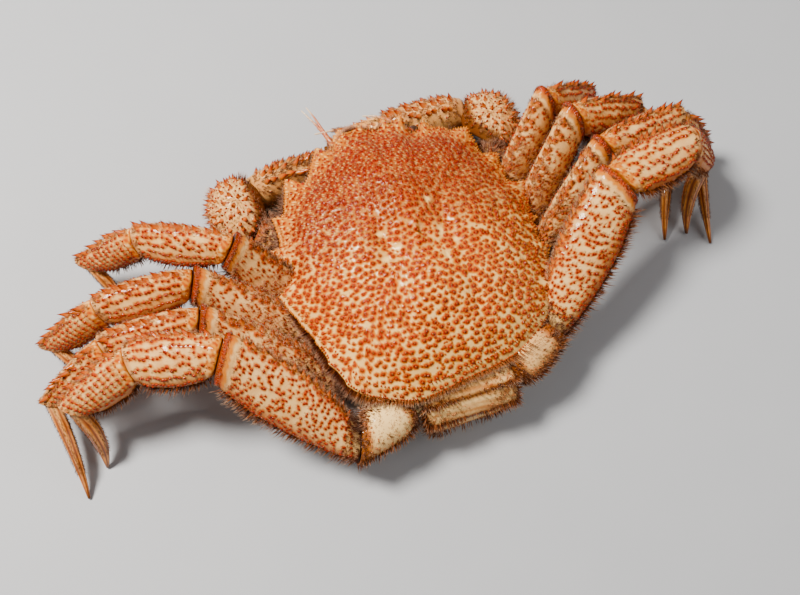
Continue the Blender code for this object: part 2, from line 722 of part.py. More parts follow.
def take_result(piece, modifier):
    """Keep a modifier's result as the piece's own mesh, and its largest closed surface only."""
    view = bpy.context.evaluated_depsgraph_get()
    mesh = bpy.data.meshes.new_from_object(piece.evaluated_get(view))
    piece.modifiers.remove(modifier)
    piece.data = mesh
    keep_largest_surface(piece)


def keep_largest_surface(piece):
    build = bmesh.new()
    build.from_mesh(piece.data)
    unseen = set(build.faces)
    surfaces = []
    while unseen:
        surface = [unseen.pop()]
        for face in surface:
            for edge in face.edges:
                for other in edge.link_faces:
                    if other in unseen:
                        unseen.remove(other)
                        surface.append(other)
        surfaces.append(surface)
    surfaces.sort(key=lambda surface: -sum(face.calc_area() for face in surface))
    scraps = [face for surface in surfaces[1:] for face in surface]
    bmesh.ops.delete(build, geom=scraps, context="FACES")
    build.to_mesh(piece.data)
    build.free()


def fuse(piece, parts):
    """Join closed parts to a piece by one union."""
    group = bpy.data.collections.new("parts")
    bpy.context.scene.collection.children.link(group)
    for part in parts:
        bpy.context.scene.collection.objects.unlink(part)
        group.objects.link(part)
    union = piece.modifiers.new("union", "BOOLEAN")
    union.operation = "UNION"
    union.operand_type = "COLLECTION"
    union.collection = group
    union.solver = "EXACT"
    take_result(piece, union)
    for part in parts:
        bpy.data.objects.remove(part)
    bpy.data.collections.remove(group)


def swollen_copy(piece, margin):
    copy = bpy.data.objects.new("clearance", piece.data.copy())
    bpy.context.scene.collection.objects.link(copy)
    build = bmesh.new()
    build.from_mesh(copy.data)
    build.normal_update()
    moves = []
    for vert in build.verts:
        stretch = min(vert.calc_shell_factor(), SHARPEST_STRETCH)
        moves.append((vert, vert.normal * margin * stretch))
    for vert, move in moves:
        vert.co += move
    build.to_mesh(copy.data)
    build.free()
    return copy


def surface_tree(piece):
    build = bmesh.new()
    build.from_mesh(piece.data)
    tree = BVHTree.FromBMesh(build)
    build.free()
    return tree


def corners_of(piece):
    points = [vert.co for vert in piece.data.vertices]
    low = [min(point[axis] for point in points) for axis in range(3)]
    high = [max(point[axis] for point in points) for axis in range(3)]
    return low, high


def boxes_meet(first, second, margin):
    low_a, high_a = corners_of(first)
    low_b, high_b = corners_of(second)
    return all(
        low_a[axis] - margin < high_b[axis] and low_b[axis] - margin < high_a[axis]
        for axis in range(3)
    )


def cut_clear(piece, neighbour):
    """Cut a piece back to a small gap from its neighbour, where it would reach into it."""
    if not boxes_meet(piece, neighbour, GAP):
        return
    cutter = swollen_copy(neighbour, GAP)
    if surface_tree(piece).overlap(surface_tree(cutter)):
        uncut = piece.data
        for solver in ("EXACT", "MANIFOLD"):
            piece.data = uncut
            cut = piece.modifiers.new("cut", "BOOLEAN")
            cut.operation = "DIFFERENCE"
            cut.object = cutter
            cut.solver = solver
            take_result(piece, cut)
            if not surface_tree(piece).overlap(surface_tree(neighbour)):
                break
    bpy.data.objects.remove(cutter)


def room_for(candidate, trees):
    """Whether a spine keeps clear of every other piece."""
    root, way, length, half_width, sunk = candidate
    for tree in trees:
        if tree.ray_cast(root, way, length * MM + CLEARANCE)[0] is not None:
            return False
        for share in (-sunk / length, 0.2, 0.6, 1.0):
            spread = half_width * (1 - share) * MM + CLEARANCE
            if tree.find_nearest(root + way * length * share * MM, spread)[0] is not None:
                return False
    tip = root + way * length * MM
    return tip.z > CLEARANCE


def grow_spines(pieces, spots):
    """Fuse each piece with the spines that it carries, one piece after the other."""
    trees = {piece.name: surface_tree(piece) for piece in pieces}
    for piece in pieces:
        near = [
            trees[other.name] for other in pieces
            if other != piece and boxes_meet(piece, other, NEAR)
        ]
        clear = [candidate for candidate in spots.get(piece.name, ()) if room_for(candidate, near)]
        parts = [spine(*candidate) for candidate in clear]
        if parts:
            fuse(piece, parts)
            trees[piece.name] = surface_tree(piece)


def make_crab():
    chance = random.Random(SEED)
    spots = {"carapace": carapace_spots(chance)}
    eyes = [make_eye(side) for side in SIDES]
    body = [make_carapace(), make_abdomen(), make_thorax()]
    mouth = [make_maxilliped(side) for side in SIDES]
    feelers = [make_antenna(side) for side in SIDES] + [make_antennules()]
    limbs = [make_claw_leg(side, chance, spots) for side in SIDES]
    for number in (5, 4, 3, 2):
        limbs += [make_walking_leg(side, number, chance, spots) for side in SIDES]
    placed = []
    for piece in eyes + body + mouth + feelers:
        for neighbour in placed:
            cut_clear(piece, neighbour)
        placed.append(piece)
    for limb in limbs:
        others = list(placed)
        for piece in limb:
            for neighbour in others:
                cut_clear(piece, neighbour)
        placed += limb
    grow_spines(placed, spots)


clear_scene()
make_crab()
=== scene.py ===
# %% [markdown]
# # A horsehair crab
# This lesson dresses a packed crab in its real surface: a dome of shell with some three thousand
# tubercles, eight legs and two claws edged with stiff bristles, dark eyes and thin feelers. The
# solids already have the true size and pose. Each of them is now replaced by a finer shell that
# follows the same curves, so nothing has to be fitted by eye.
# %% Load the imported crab
import bpy
import numpy as np
from math import asin, cos, pi, radians, sin
from mathutils import Matrix


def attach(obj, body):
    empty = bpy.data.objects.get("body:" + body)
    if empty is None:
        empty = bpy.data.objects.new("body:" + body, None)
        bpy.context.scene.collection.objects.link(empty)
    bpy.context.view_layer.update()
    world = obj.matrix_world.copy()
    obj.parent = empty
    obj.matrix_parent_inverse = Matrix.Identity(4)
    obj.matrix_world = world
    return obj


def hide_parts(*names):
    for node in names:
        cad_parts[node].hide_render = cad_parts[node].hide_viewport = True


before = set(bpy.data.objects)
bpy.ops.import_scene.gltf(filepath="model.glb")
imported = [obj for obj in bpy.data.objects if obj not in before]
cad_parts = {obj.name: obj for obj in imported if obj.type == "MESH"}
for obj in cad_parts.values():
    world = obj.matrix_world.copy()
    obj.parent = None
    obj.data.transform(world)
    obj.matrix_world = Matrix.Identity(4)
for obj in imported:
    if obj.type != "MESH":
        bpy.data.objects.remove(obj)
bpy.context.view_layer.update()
MM = 0.001
UP = np.array((0.0, 0.0, 1.0))
FORWARD = np.array((0.0, 1.0, 0.0))
FAR_AWAY = 9.0
SIDES = {"left": -1, "right": 1}
chance = np.random.default_rng(12)
print("solids loaded:", len(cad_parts))

# %% [markdown]
# ## Small tools for many points
# A crab has thousands of small things on it, and a Python loop over each of their corners would
# be slow. Everything below works on whole arrays of points, in millimetres, and a piece is only
# turned into a Blender mesh when all of its parts are known.
# %% Vectors in arrays
def unit(ways):
    return ways / np.maximum(np.linalg.norm(ways, axis=-1, keepdims=True), 1e-9)


def dot(first, second):
    return np.sum(first * second, axis=-1)


def step(low, high, at):
    """A soft step from 0 at low to 1 at high."""
    share = np.clip((at - low) / (high - low), 0, 1)
    return share * share * (3 - 2 * share)


def eased(stops, at, width):
    """The columns of a profile between its stops, with its corners eased over a width."""
    table = np.array(stops, float)
    shifts = np.array((-1, -0.5, 0, 0.5, 1)) * width
    places = np.asarray(at, float)[..., None] + shifts
    return [np.interp(places, table[:, 0], column).mean(-1) for column in table[:, 1:].T]


def hills(points, list_of_hills):
    """A height from rows of height, across, along, half width and half length."""
    height = np.zeros(points.shape[:-1])
    for rise, across, along, half_wide, half_long in list_of_hills:
        away = ((points[..., 0] - across) / half_wide) ** 2
        away = away + ((points[..., 1] - along) / half_long) ** 2
        height += rise * np.exp(-away)
    return height


# %% [markdown]
# ## A piece made of many parts
# A leg segment is one curved skin with spines standing on it. The skin is a grid of points and
# each spine is a small cone. A piece collects such parts, and with them a few numbers for every
# point, such as how red a tubercle is there. A material reads these numbers by name, so colour
# and shape always agree. Painting an image would do the same, but only at one resolution.
# %% The piece
# The dark mark is mostly painted shade in joints, grooves, end caps and under the rim; at the claw
# tips and in the grooves of the last segments it is their own dark colour.
MARKS = ("spot", "pale", "warm", "gold", "dark", "tip", "tone")


class Piece:
    """Points, faces and marks of one object, until it is built."""

    def __init__(self):
        self.points = []
        self.faces = []
        self.marks = {mark: [] for mark in MARKS}
        self.maps = []
        self.count = 0

    def add(self, points, faces, maps=None, **marks):
        size = len(points)
        self.points.append(points)
        self.faces += [face + self.count for face in faces]
        for mark in MARKS:
            self.marks[mark].append(np.broadcast_to(marks.get(mark, 0.0), (size,)))
        if maps is not None:
            self.maps.append(maps)
        self.count += size

    def build(self, name, finish, slot, *nodes):
        corners = np.concatenate([face.ravel() for face in self.faces]).astype(np.int32)
        sizes = np.concatenate([np.full(len(face), face.shape[1]) for face in self.faces])
        starts = np.concatenate([[0], np.cumsum(sizes)[:-1]]).astype(np.int32)
        mesh = bpy.data.meshes.new(name)
        mesh.vertices.add(self.count)
        points = np.concatenate(self.points).astype(np.float32) * MM
        # bristles that would reach below the floor are pressed flat on it
        points[:, 2] = np.maximum(points[:, 2], 0.0)
        mesh.vertices.foreach_set("co", points.ravel())
        mesh.loops.add(len(corners))
        mesh.loops.foreach_set("vertex_index", corners)
        mesh.polygons.add(len(starts))
        mesh.polygons.foreach_set("loop_start", starts)
        mesh.update(calc_edges=True)
        mesh.shade_smooth()
        for mark in MARKS:
            values = np.concatenate(self.marks[mark]).astype(np.float32)
            if values.any():
                layer = mesh.attributes.new(mark, "FLOAT", "POINT")
                layer.data.foreach_set("value", values)
        if self.maps:
            layer = mesh.uv_layers.new(name="OFBake")
            values = np.concatenate(self.maps)[corners].astype(np.float32)
            layer.uv.foreach_set("vector", values.ravel())
        mesh.materials.append(finish)
        item = bpy.data.objects.new(name, mesh)
        bpy.context.scene.collection.objects.link(item)
        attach(item, "root")
        if nodes:
            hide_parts(*nodes)
        totals[name] = int(np.sum(sizes - 2))


totals = {}


def grid_faces(rows, columns, closed=True):
    """Square faces between rows of points that follow each other."""
    here = np.arange(rows * columns).reshape(rows, columns)
    beside = np.roll(here, -1, axis=1)
    faces = np.stack((here[:-1], beside[:-1], beside[1:], here[1:]), axis=-1)
    return (faces if closed else faces[:, :-1]).reshape(-1, 4)


def fan_faces(ring, middle, flip):
    """Triangles from a ring of points to one in its middle."""
    beside = np.roll(ring, -1)
    pair = (beside, ring) if flip else (ring, beside)
    return np.stack((*pair, np.full(len(ring), middle)), axis=-1)


# %% [markdown]
# ## Spines and bristles
# A spine is a cone with a flared foot, leaning the way the animal's spines lean. A bristle is a
# much thinner cone with a bend in it. Both exist in thousands, so one function makes all cones of
# a field at once from their roots, directions and sizes. Particle hair would be quicker to set
# up, but it isn't a mesh and is lost when the crab is exported.
# %% Cones on a surface
SPINE_FORM = ((-0.2, 1.3), (0.22, 0.76), (0.66, 0.32), (1.0, 0.0))
TUBERCLE_FORM = ((-0.3, 1.2), (0.55, 0.78), (1.0, 0.0))


def cones(piece, roots, ways, lays, lengths, widths, form, sides, bend, **marks):
    """Cones of one form on many roots, each bent a little to the way it lies.

    A mark is one number, one for each cone, or a pair for its foot and its upper half."""
    count = len(roots)
    lengths = np.broadcast_to(lengths, (count,))[:, None]
    widths = np.broadcast_to(widths, (count,))[:, None]
    across = unit(np.cross(ways, lays + 1e-4))
    over = np.cross(ways, across)
    spin = chance.uniform(0, 2 * pi, (count, 1))
    rings = []
    for height, width in form[:-1]:
        middle = roots + ways * lengths * height + lays * lengths * bend * max(height, 0) ** 2
        for side in range(sides):
            angle = spin + 2 * pi * side / sides
            reach = (across * np.cos(angle) + over * np.sin(angle)) * widths * width
            rings.append(middle + reach)
    rings.append(roots + (ways + lays * bend) * lengths)
    points = np.stack(rings, axis=1)
    each = points.shape[1]
    quads = grid_faces(len(form) - 1, sides)
    last = np.arange(each - 1 - sides, each - 1)
    tips = fan_faces(last, each - 1, False)
    first = (np.arange(count) * each)[:, None, None]
    height = np.array([h for h, _ in form[:-1] for _ in range(sides)] + [1.0])
    share = np.clip(np.tile(height, count), 0, 1)
    fields = {}
    for mark, value in marks.items():
        value = np.asarray(value, float)
        if value.ndim == 1 and len(value) == 2:
            value = value[0] + (value[1] - value[0]) * step(0.0, 0.5, share)
        elif value.ndim == 1:
            value = np.repeat(value, each)
        fields[mark] = value
    faces = [(quads[None] + first).reshape(-1, 4), (tips[None] + first).reshape(-1, 3)]
    piece.add(points.reshape(-1, 3), faces, tip=share, **fields)


# %% Bristles in tufts
BAKE_PATCH = 0.0015
STOUT = 0.1


def tufts(piece, roots, ways, lays, lengths, maps, each, spread, lean, thick, tone, stray=0.16):
    """Tufts of bristles, each tuft with a small patch of its own on the bake map.

    A thin bristle is a plain three-sided point. A stout one has a ring more and bends."""
    count = len(roots) * each
    roots, ways, lays, maps = [np.repeat(part, each, axis=0) for part in (roots, ways, lays, maps)]
    lengths = np.repeat(np.broadcast_to(lengths, (count // each,)), each)
    tone = np.repeat(np.broadcast_to(tone, (count // each,)), each)
    slip = chance.normal(0, spread, (count, 3))
    roots = roots + slip - ways * dot(slip, ways)[:, None]
    lays = unit(lays + chance.normal(0, stray, (count, 3)))
    ways = unit(ways + lays * lean + chance.normal(0, 0.6 * stray, (count, 3)))
    lengths = (lengths * chance.uniform(0.6, 1.12, count))[:, None]
    across = unit(np.cross(ways, lays + 1e-4))
    over = np.cross(ways, across)
    bend = lays * lengths * chance.uniform(0.04, 0.22, (count, 1))
    rings, offsets = [], []
    levels = ((-0.08, 1.0), (0.55, 0.7)) if thick > STOUT else ((-0.08, 1.15),)
    for height, width in levels:
        for side in range(3):
            angle = 2 * pi * side / 3
            reach = (across * cos(angle) + over * sin(angle)) * thick * width
            rings.append(roots + ways * lengths * height + bend * max(height, 0) ** 2 + reach)
            offsets.append((cos(angle) * width, sin(angle) * width))
    rings.append(roots + ways * lengths + bend)
    offsets.append((0.0, 0.0))
    points = np.stack(rings, axis=1).reshape(-1, 3)
    patch = maps[:, None, :] + np.array(offsets)[None] * BAKE_PATCH
    last = 3 * len(levels)
    first = (np.arange(count) * (last + 1))[:, None, None]
    tips = fan_faces(np.arange(last - 3, last), last, False)
    faces = [(tips[None] + first).reshape(-1, 3)]
    if len(levels) > 1:
        faces.append((grid_faces(2, 3)[None] + first).reshape(-1, 4))
    tone = np.repeat(np.clip(tone + chance.normal(0, 0.16, count), 0, 1), last + 1)
    share = np.tile([max(height, 0) for height, _ in levels for _ in range(3)] + [1.0], count)
    piece.add(points, faces, patch.reshape(-1, 2), tip=share, tone=tone)


# %% [markdown]
# ## Low tubercles in the skin
# Under each cone the real shell swells a little and shows a pale ring. The skin's own grid is
# fine enough for that: each of its points looks for the nearest tubercle, rises by a rounded
# profile and remembers how near it was.
# %% Swellings round the tubercles
BLOCK = 4_000_000


def nearest(points, centres, radii):
    """For each point, the smallest distance to a centre over that centre's radius. It works in
    blocks, because all the pairs at once would fill the memory."""
    best = np.full(len(points), FAR_AWAY)
    if len(centres) == 0:
        return best
    centres = centres.astype(np.float32)
    block = max(1, BLOCK // len(centres))
    for first in range(0, len(points), block):
        part = points[first:first + block].astype(np.float32)
        square = np.sum(part * part, axis=1)[:, None] + np.sum(centres * centres, axis=1)[None]
        square = np.maximum(square - 2 * part @ centres.T, 0)
        best[first:first + block] = np.sqrt(np.min(square / (radii * radii)[None], axis=1))
    return best


# %% [markdown]
# ## Materials
# Shell is wet and glossy, with a colour that drifts from cream to orange. The maths of a
# material reads best as plain expressions, so a small class wraps a socket and lets it be
# added and multiplied like a number.
# %% Sockets in sums
class Wire:
    """An output of a node, which sums and products can use."""

    def __init__(self, finish, socket):
        self.finish = finish
        self.socket = socket

    def __add__(self, other):
        return self.finish.node("Math", {"operation": "ADD"}, {0: self, 1: other})

    def __mul__(self, other):
        return self.finish.node("Math", {"operation": "MULTIPLY"}, {0: self, 1: other})

    __radd__ = __add__
    __rmul__ = __mul__

    def between(self, low, high):
        """A soft step of this value from 0 at low to 1 at high."""
        settings = {"interpolation_type": "SMOOTHSTEP"}
        return self.finish.node("MapRange", settings, {0: self, 1: low, 2: high})


class Finish:
    """A material that is being made."""

    def __init__(self, name, **fixed):
        self.material = bpy.data.materials.new(name)
        self.material.use_nodes = True
        self.tree = self.material.node_tree
        self.shader = self.tree.nodes["Principled BSDF"]
        for socket, value in fixed.items():
            self.shader.inputs[socket.replace("_", " ")].default_value = value

    def feed(self, socket, value):
        if isinstance(value, Wire):
            self.tree.links.new(value.socket, socket)
        else:
            socket.default_value = value

    def node(self, kind, settings, inputs, output=0):
        """Any node: its settings come first, then the values or wires of its sockets."""
        node = self.tree.nodes.new("ShaderNode" + kind)
        for setting, value in settings.items():
            setattr(node, setting, value)
        for socket, value in inputs.items():
            self.feed(node.inputs[socket], value)
        return Wire(self, node.outputs[output])

    def mark(self, name):
        return self.node("Attribute", {"attribute_name": name}, {}, 2)

    def noise(self, scale, detail, rough):
        place = self.node("TexCoord", {}, {}, 3)
        inputs = {"Vector": place, "Scale": scale, "Detail": detail, "Roughness": rough}
        return self.node("TexNoise", {}, inputs)

    def mix(self, share, first, second):
        """A colour part of the way from one to another."""
        pair = [(*c, 1) if isinstance(c, tuple) else c for c in (first, second)]
        inputs = {0: share, 6: pair[0], 7: pair[1]}
        return self.node("Mix", {"data_type": "RGBA", "clamp_factor": True}, inputs, 2)

    def set(self, colour, rough=None, bump=None, height=0.0002, strength=0.5):
        self.feed(self.shader.inputs["Base Color"], colour)
        if rough is not None:
            self.feed(self.shader.inputs["Roughness"], rough)
        if bump is not None:
            inputs = {"Strength": strength, "Distance": height, "Height": bump}
            self.feed(self.shader.inputs["Normal"], self.node("Bump", {}, inputs))
        return self.material


# %% Colours of the animal
CREAM = (0.66, 0.29, 0.045)
IVORY = (1.0, 0.68, 0.27)
BUFF = (1.0, 0.64, 0.20)
PINK = (0.62, 0.24, 0.085)
TAN = (0.46, 0.12, 0.006)
RUST = (0.25, 0.032, 0.002)
ORANGE = (0.40, 0.016, 0.0004)
RED = (0.20, 0.004, 0.0004)
MAROON = (0.05, 0.0015, 0.0004)
GOLD = (0.66, 0.21, 0.001)
# Painted shade in joints, grooves and under the rim, and the horny tip of the palm
SHADE_AND_HORN_BROWN = (0.045, 0.007, 0.002)


# %% [markdown]
# ### The shell's finish
# Between the tubercles the shell is cream at the back and more and more orange towards the
# front. Round each tubercle runs a pale ring, and its top is orange-red. A fine noise breaks all
# of this up, as pores and stains do on the real shell.
# %% Shell finish
def shell_finish(name, ground, light, stain, stain_share, rough, deep):
    """Ground and light are its two pale colours, deep is the warmest one."""
    make = Finish(name, Metallic=0.0, Coat_Weight=0.28, Coat_Roughness=0.1,
                  Specular_IOR_Level=0.04, Specular_Tint=(1.0, 0.5, 0.2, 1))
    broad = make.noise(90, 4, 0.6)
    fine = make.noise(900, 3, 0.6)
    cloud = (broad * 0.6 + fine * 0.4).between(0.38, 0.62)
    colour = make.mix(cloud * stain_share, ground, stain)
    colour = make.mix(make.noise(230, 3, 0.6).between(0.52, 0.72) * 0.55, colour, light)
    warm = make.mark("warm") * (0.7 + 0.5 * cloud)
    colour = make.mix(warm.between(0.0, 0.5), colour, TAN)
    colour = make.mix(warm.between(0.4, 0.95), colour, deep)
    colour = make.mix(make.mark("gold") * (0.6 + 0.4 * fine), colour, GOLD)
    colour = make.mix(make.mark("pale"), colour, light)
    red = make.mix(broad.between(0.35, 0.7) * 0.6, ORANGE, RED)
    red = make.mix(make.mark("tip").between(0.25, 0.9) * 0.75, red, MAROON)
    colour = make.mix(make.mark("spot"), colour, red)
    # The dark mark is mostly painted shade in joints, grooves, end caps and under the rim; on the
    # palm it is its horny tip.
    colour = make.mix(make.mark("dark"), colour, SHADE_AND_HORN_BROWN)
    grain = fine * 0.7 + make.noise(2600, 2, 0.5) * 0.3
    return make.set(colour, rough + 0.16 * fine, grain, strength=0.8)


back_finish = shell_finish("back shell", CREAM, BUFF, TAN, 0.35, 0.34, RUST)
limb_finish = shell_finish("limb shell", CREAM, IVORY, PINK, 0.6, 0.34, (0.42, 0.06, 0.003))
ivory_finish = shell_finish("ivory shell", IVORY, IVORY, PINK, 0.4, 0.38, RUST)


# %% Bristle finish
def bristle_finish():
    """Maroon at the root, with a pale golden tip, and some bristles lighter all along."""
    make = Finish("bristles", Metallic=0.0, Roughness=0.42, Specular_IOR_Level=0.1,
                  Specular_Tint=(1.0, 0.5, 0.3, 1))
    root = make.mix(make.mark("tone"), (0.05, 0.007, 0.003), (0.42, 0.13, 0.03))
    tip = make.mix(make.mark("tone"), (0.50, 0.27, 0.18), (0.98, 0.70, 0.44))
    return make.set(make.mix(make.mark("tip").between(0.52, 0.95), root, tip))


bristle_look = bristle_finish()


# %% Claw tip, eye and feeler finishes
def amber_finish():
    """The horny fingers: amber with dark lines in the grooves, and nearly black at the tip."""
    make = Finish("amber claw", Metallic=0.0, Coat_Weight=0.5, Coat_Roughness=0.08,
                  Specular_Tint=(1.0, 0.6, 0.3, 1))
    streak = make.noise(260, 3, 0.6)
    colour = make.mix(streak.between(0.35, 0.65), (0.78, 0.27, 0.03), (0.5, 0.13, 0.01))
    for mark, shade in (("pale", (0.95, 0.55, 0.22)), ("warm", (0.90, 0.48, 0.16)),
                        ("spot", (0.28, 0.03, 0.004)), ("dark", (0.04, 0.010, 0.004))):
        colour = make.mix(make.mark(mark), colour, shade)
    return make.set(colour, 0.24 + 0.15 * streak, streak, strength=0.3)


def eye_finish():
    """Nearly black and wet."""
    make = Finish("eye", Metallic=0.0, Coat_Weight=0.6, Coat_Roughness=0.04, IOR=1.45)
    facets = make.noise(5000, 1, 0.5)
    colour = make.mix(facets.between(0.4, 0.6), (0.030, 0.014, 0.008), (0.070, 0.032, 0.018))
    return make.set(colour, 0.12 + 0.1 * facets, facets, 0.00003, 0.3)


def feeler_finish():
    """Red-brown joints with pale tips."""
    make = Finish("feelers", Metallic=0.0, Roughness=0.4, Coat_Weight=0.2)
    bands = make.noise(1200, 2, 0.5)
    colour = make.mix(bands.between(0.4, 0.6), (0.42, 0.07, 0.012), (0.58, 0.20, 0.06))
    colour = make.mix(make.mark("tip").between(0.35, 1.0), colour, (0.80, 0.62, 0.42))
    return make.set(colour, 0.4 + 0.1 * bands, bands, 0.0001, 0.4)


amber_look = amber_finish()
eye_look = eye_finish()
feeler_look = feeler_finish()
print("finishes:", len(bpy.data.materials))

# %% [markdown]
# ## The shell of the back
# The carapace is a shallow dome over an outline with corners at the front. It could be
# sculpted, but its height follows a simple rule: high in the middle, falling to the rim, with
# broad swellings over the organs and grooves between them. The rule is a function of the place
# across and along, so tubercles and bristles can ask it for their own height later.
# %% Outline and height
BELLY_TO_RIM = 27.0
RIM_LIFT = 1.6
DOME_HEIGHT = 19.5
RIM = (
    # across and along, from the front middle round by the left, with the teeth
    (3, 48.7), (-1.5, 51.4), (-3.2, 53.9), (-5.6, 52.1), (-8, 52.2), (-10.4, 53.2),
    (-12.7, 50.9), (-14.8, 48.2), (-16.1, 46.1), (-18.8, 46.7), (-20.1, 49.2), (-22.3, 45.9),
    (-24.4, 42.4), (-26.4, 38.9), (-29.7, 35.8), (-31.1, 37.3), (-33.4, 39.5), (-34.7, 40.8),
    (-36.2, 37.5), (-37.2, 33.7), (-38.5, 30.4), (-39, 28.1), (-41.8, 26.6), (-44.1, 28),
    (-43.9, 24.5), (-43.8, 21.2), (-43.9, 18), (-44.6, 15.9), (-46.8, 15.4), (-48.3, 15.8),
    (-47.6, 12.4), (-47.2, 9.1), (-46.7, 5.4), (-46.1, 2.1), (-48.4, -0.2), (-50.7, -1.5),
    (-49.8, -4.1), (-48.7, -7.5), (-46.9, -11.2), (-46.6, -12.8), (-45.2, -16.1),
    (-43.4, -19.7), (-43.6, -21.6), (-42.3, -24.6), (-41.5, -28.4), (-41.9, -30.2),
    (-39.7, -33.5), (-38.3, -37.5), (-38.2, -39.6), (-35.9, -42.5), (-32.1, -46.2),
    (-27.4, -48.5), (-22.7, -50.9), (-18.9, -52.4), (-14.4, -53), (-9.9, -52.9), (-5.4, -52.3),
    (-0.5, -51.5), (5.3, -50.8), (11.2, -50.3), (16.4, -49.5), (21.5, -48.4), (26.5, -46.4),
    (30.5, -44), (34.2, -41.6), (37.6, -39), (40.2, -36.3), (41.5, -33.6), (42.3, -32.3),
    (45.8, -30.1), (43.5, -28.2), (44.2, -25), (46.2, -22.4), (46.1, -18.4), (47.4, -15.5),
    (49, -13.9), (46.6, -12.5), (45.9, -9.3), (46.9, -6.9), (46, -3.6), (48.4, -1.6),
    (46.6, -0.2), (47.1, 3.1), (48.9, 5.6), (48.4, 9.5), (50.3, 12.9), (46.6, 13.2),
    (44.2, 13.8), (42.8, 16.2), (43.7, 19), (42.8, 22.5), (43.6, 26.3), (40.7, 27.4),
    (38, 27.7), (37.2, 29.8), (36.9, 33.4), (36.5, 36.5), (36.1, 39.9), (32.8, 40.5),
    (29.3, 40.6), (27.3, 42.6), (23.6, 43.6), (21.1, 47.9), (18.7, 44.8), (16.6, 43.3),
    (14.7, 44.7), (14, 47.1), (13.6, 52.2), (10.7, 50.1), (8.5, 50.6), (6.6, 53.3), (5, 50.4),
)
HALF_HILLS = (
    # rise, across, along, half width, half length; those beside the middle are there twice
    (1.2, 0, 14, 13, 14), (1.3, 27, -10, 12, 18), (1.1, 0, -21, 9, 9), (-1.7, 11, 3, 3.2, 9),
    (-1.0, 0, -7, 10, 2.4), (-0.8, 22, 17, 6, 2.6), (0.6, 8, 30, 6, 7), (0.9, 28, 26, 7, 6),
    (-0.9, 13, -24, 2.2, 9), (-0.7, 0, 40, 1.8, 8), (0.6, 17, -36, 9, 6), (-0.5, 33, 2, 3, 8),
    (0.5, 38, 12, 5, 6),
)
SHELL_HILLS = [(rise, side * across, *rest) for rise, across, *rest in HALF_HILLS
               for side in ((1, -1) if across else (1,))]
SCARS = (
    # across, along, half width, half length of each smooth pale mark
    (-13.1, -5.6, 1.7, 1.3), (8.4, -1.7, 1.2, 2.4), (7.7, 10.5, 1.1, 1.5), (-12, 4, 1.5, 1.0),
    (-7.8, -2.9, 1.9, 1.1), (7.4, -11.5, 0.7, 3.2), (-5, -15.5, 0.9, 0.9), (12.5, -6, 1.0, 1.0),
)
SCAR_DEPTH = 0.25


def around(values, half, join):
    """One value for each direction, joined over its neighbours on both sides."""
    padded = np.concatenate((values[-half:], values, values[:half]))
    return join([padded[shift:shift + len(values)] for shift in range(2 * half + 1)])


def bell(half, width):
    """A way to join rows: their mean, the middle one weighing most."""
    weights = np.exp(-0.5 * (np.arange(-half, half + 1) / width) ** 2)
    return lambda rows: np.tensordot(weights / weights.sum(), rows, axes=1)


RIM_DIRECTIONS = 1440


def rim_tables():
    """How far out the rim is in every direction: without its teeth, and with them."""
    ring = np.array(RIM + RIM[:1], float)
    fine = np.concatenate([np.linspace(a, b, 40, endpoint=False) for a, b in zip(ring, ring[1:])])
    angle = np.arctan2(fine[:, 0], fine[:, 1]) % (2 * pi)
    order = np.argsort(angle)
    angles = np.linspace(0, 2 * pi, RIM_DIRECTIONS, endpoint=False)
    toothed = np.interp(angles, angle[order], np.hypot(*fine.T)[order], period=2 * pi)
    toothed = around(toothed, 3, bell(3, 0.8))
    inside = around(toothed, 14, lambda rows: np.min(rows, axis=0))
    return angles, around(inside, 30, bell(30, 12.0)), toothed


RIM_ANGLES, RIM_SMOOTH, RIM_TOOTHED = rim_tables()


def reach(angle, table=RIM_SMOOTH):
    """How far out the rim is at an angle from the front."""
    return np.interp(angle % (2 * pi), RIM_ANGLES, table, period=2 * pi)


def rim_share(across, along):
    """How far out a place is, as a share of the way to the rim."""
    return np.hypot(across, along) / reach(np.arctan2(across, along))


def back_height(across, along):
    """The dome, its hills and grooves, the smooth marks and a slight ripple."""
    share = np.minimum(rim_share(across, along), 1.0)
    rise = np.sin(np.arctan2(along, np.abs(across) + 1e-6)) ** 4
    height = BELLY_TO_RIM + RIM_LIFT * rise
    height = height + DOME_HEIGHT * np.maximum(0, 1 - share ** 2.5) ** 0.85
    places = np.stack((across, along), axis=-1)
    ripple = 0.12 * np.sin(across * 0.9 + 1.3 * np.sin(along * 0.31)) * np.sin(along * 0.8)
    scars = hills(places, [(-SCAR_DEPTH, *scar) for scar in SCARS])
    return height + hills(places, SHELL_HILLS) + scars + ripple * (1 - share ** 6)


def back_points(across, along):
    return np.stack((across, along, back_height(across, along)), axis=-1)


def back_ways(across, along):
    """The way out of the back at each place."""
    near = 0.4
    slope_x = back_height(across + near, along) - back_height(across - near, along)
    slope_y = back_height(across, along + near) - back_height(across, along - near)
    return unit(np.stack((-slope_x, -slope_y, np.full_like(across, 2 * near)), axis=-1))


print("shell height in the middle:", round(float(back_height(np.zeros(1), np.zeros(1))[0]), 1))

# %% [markdown]
# ### Where the tubercles are
# At the back they stand in wavy rows that follow the rear margin, about 2.4 mm apart, with
# smaller ones between. Towards the front they are smaller, closer and redder. A random scatter
# would clump, so the rows come first and each place is then moved a little. Along the rim of
# the front and sides some more small ones are strewn.
# %% Tubercle places
SPOT_GAP = 2.42
EDGE_SPOTS = 280


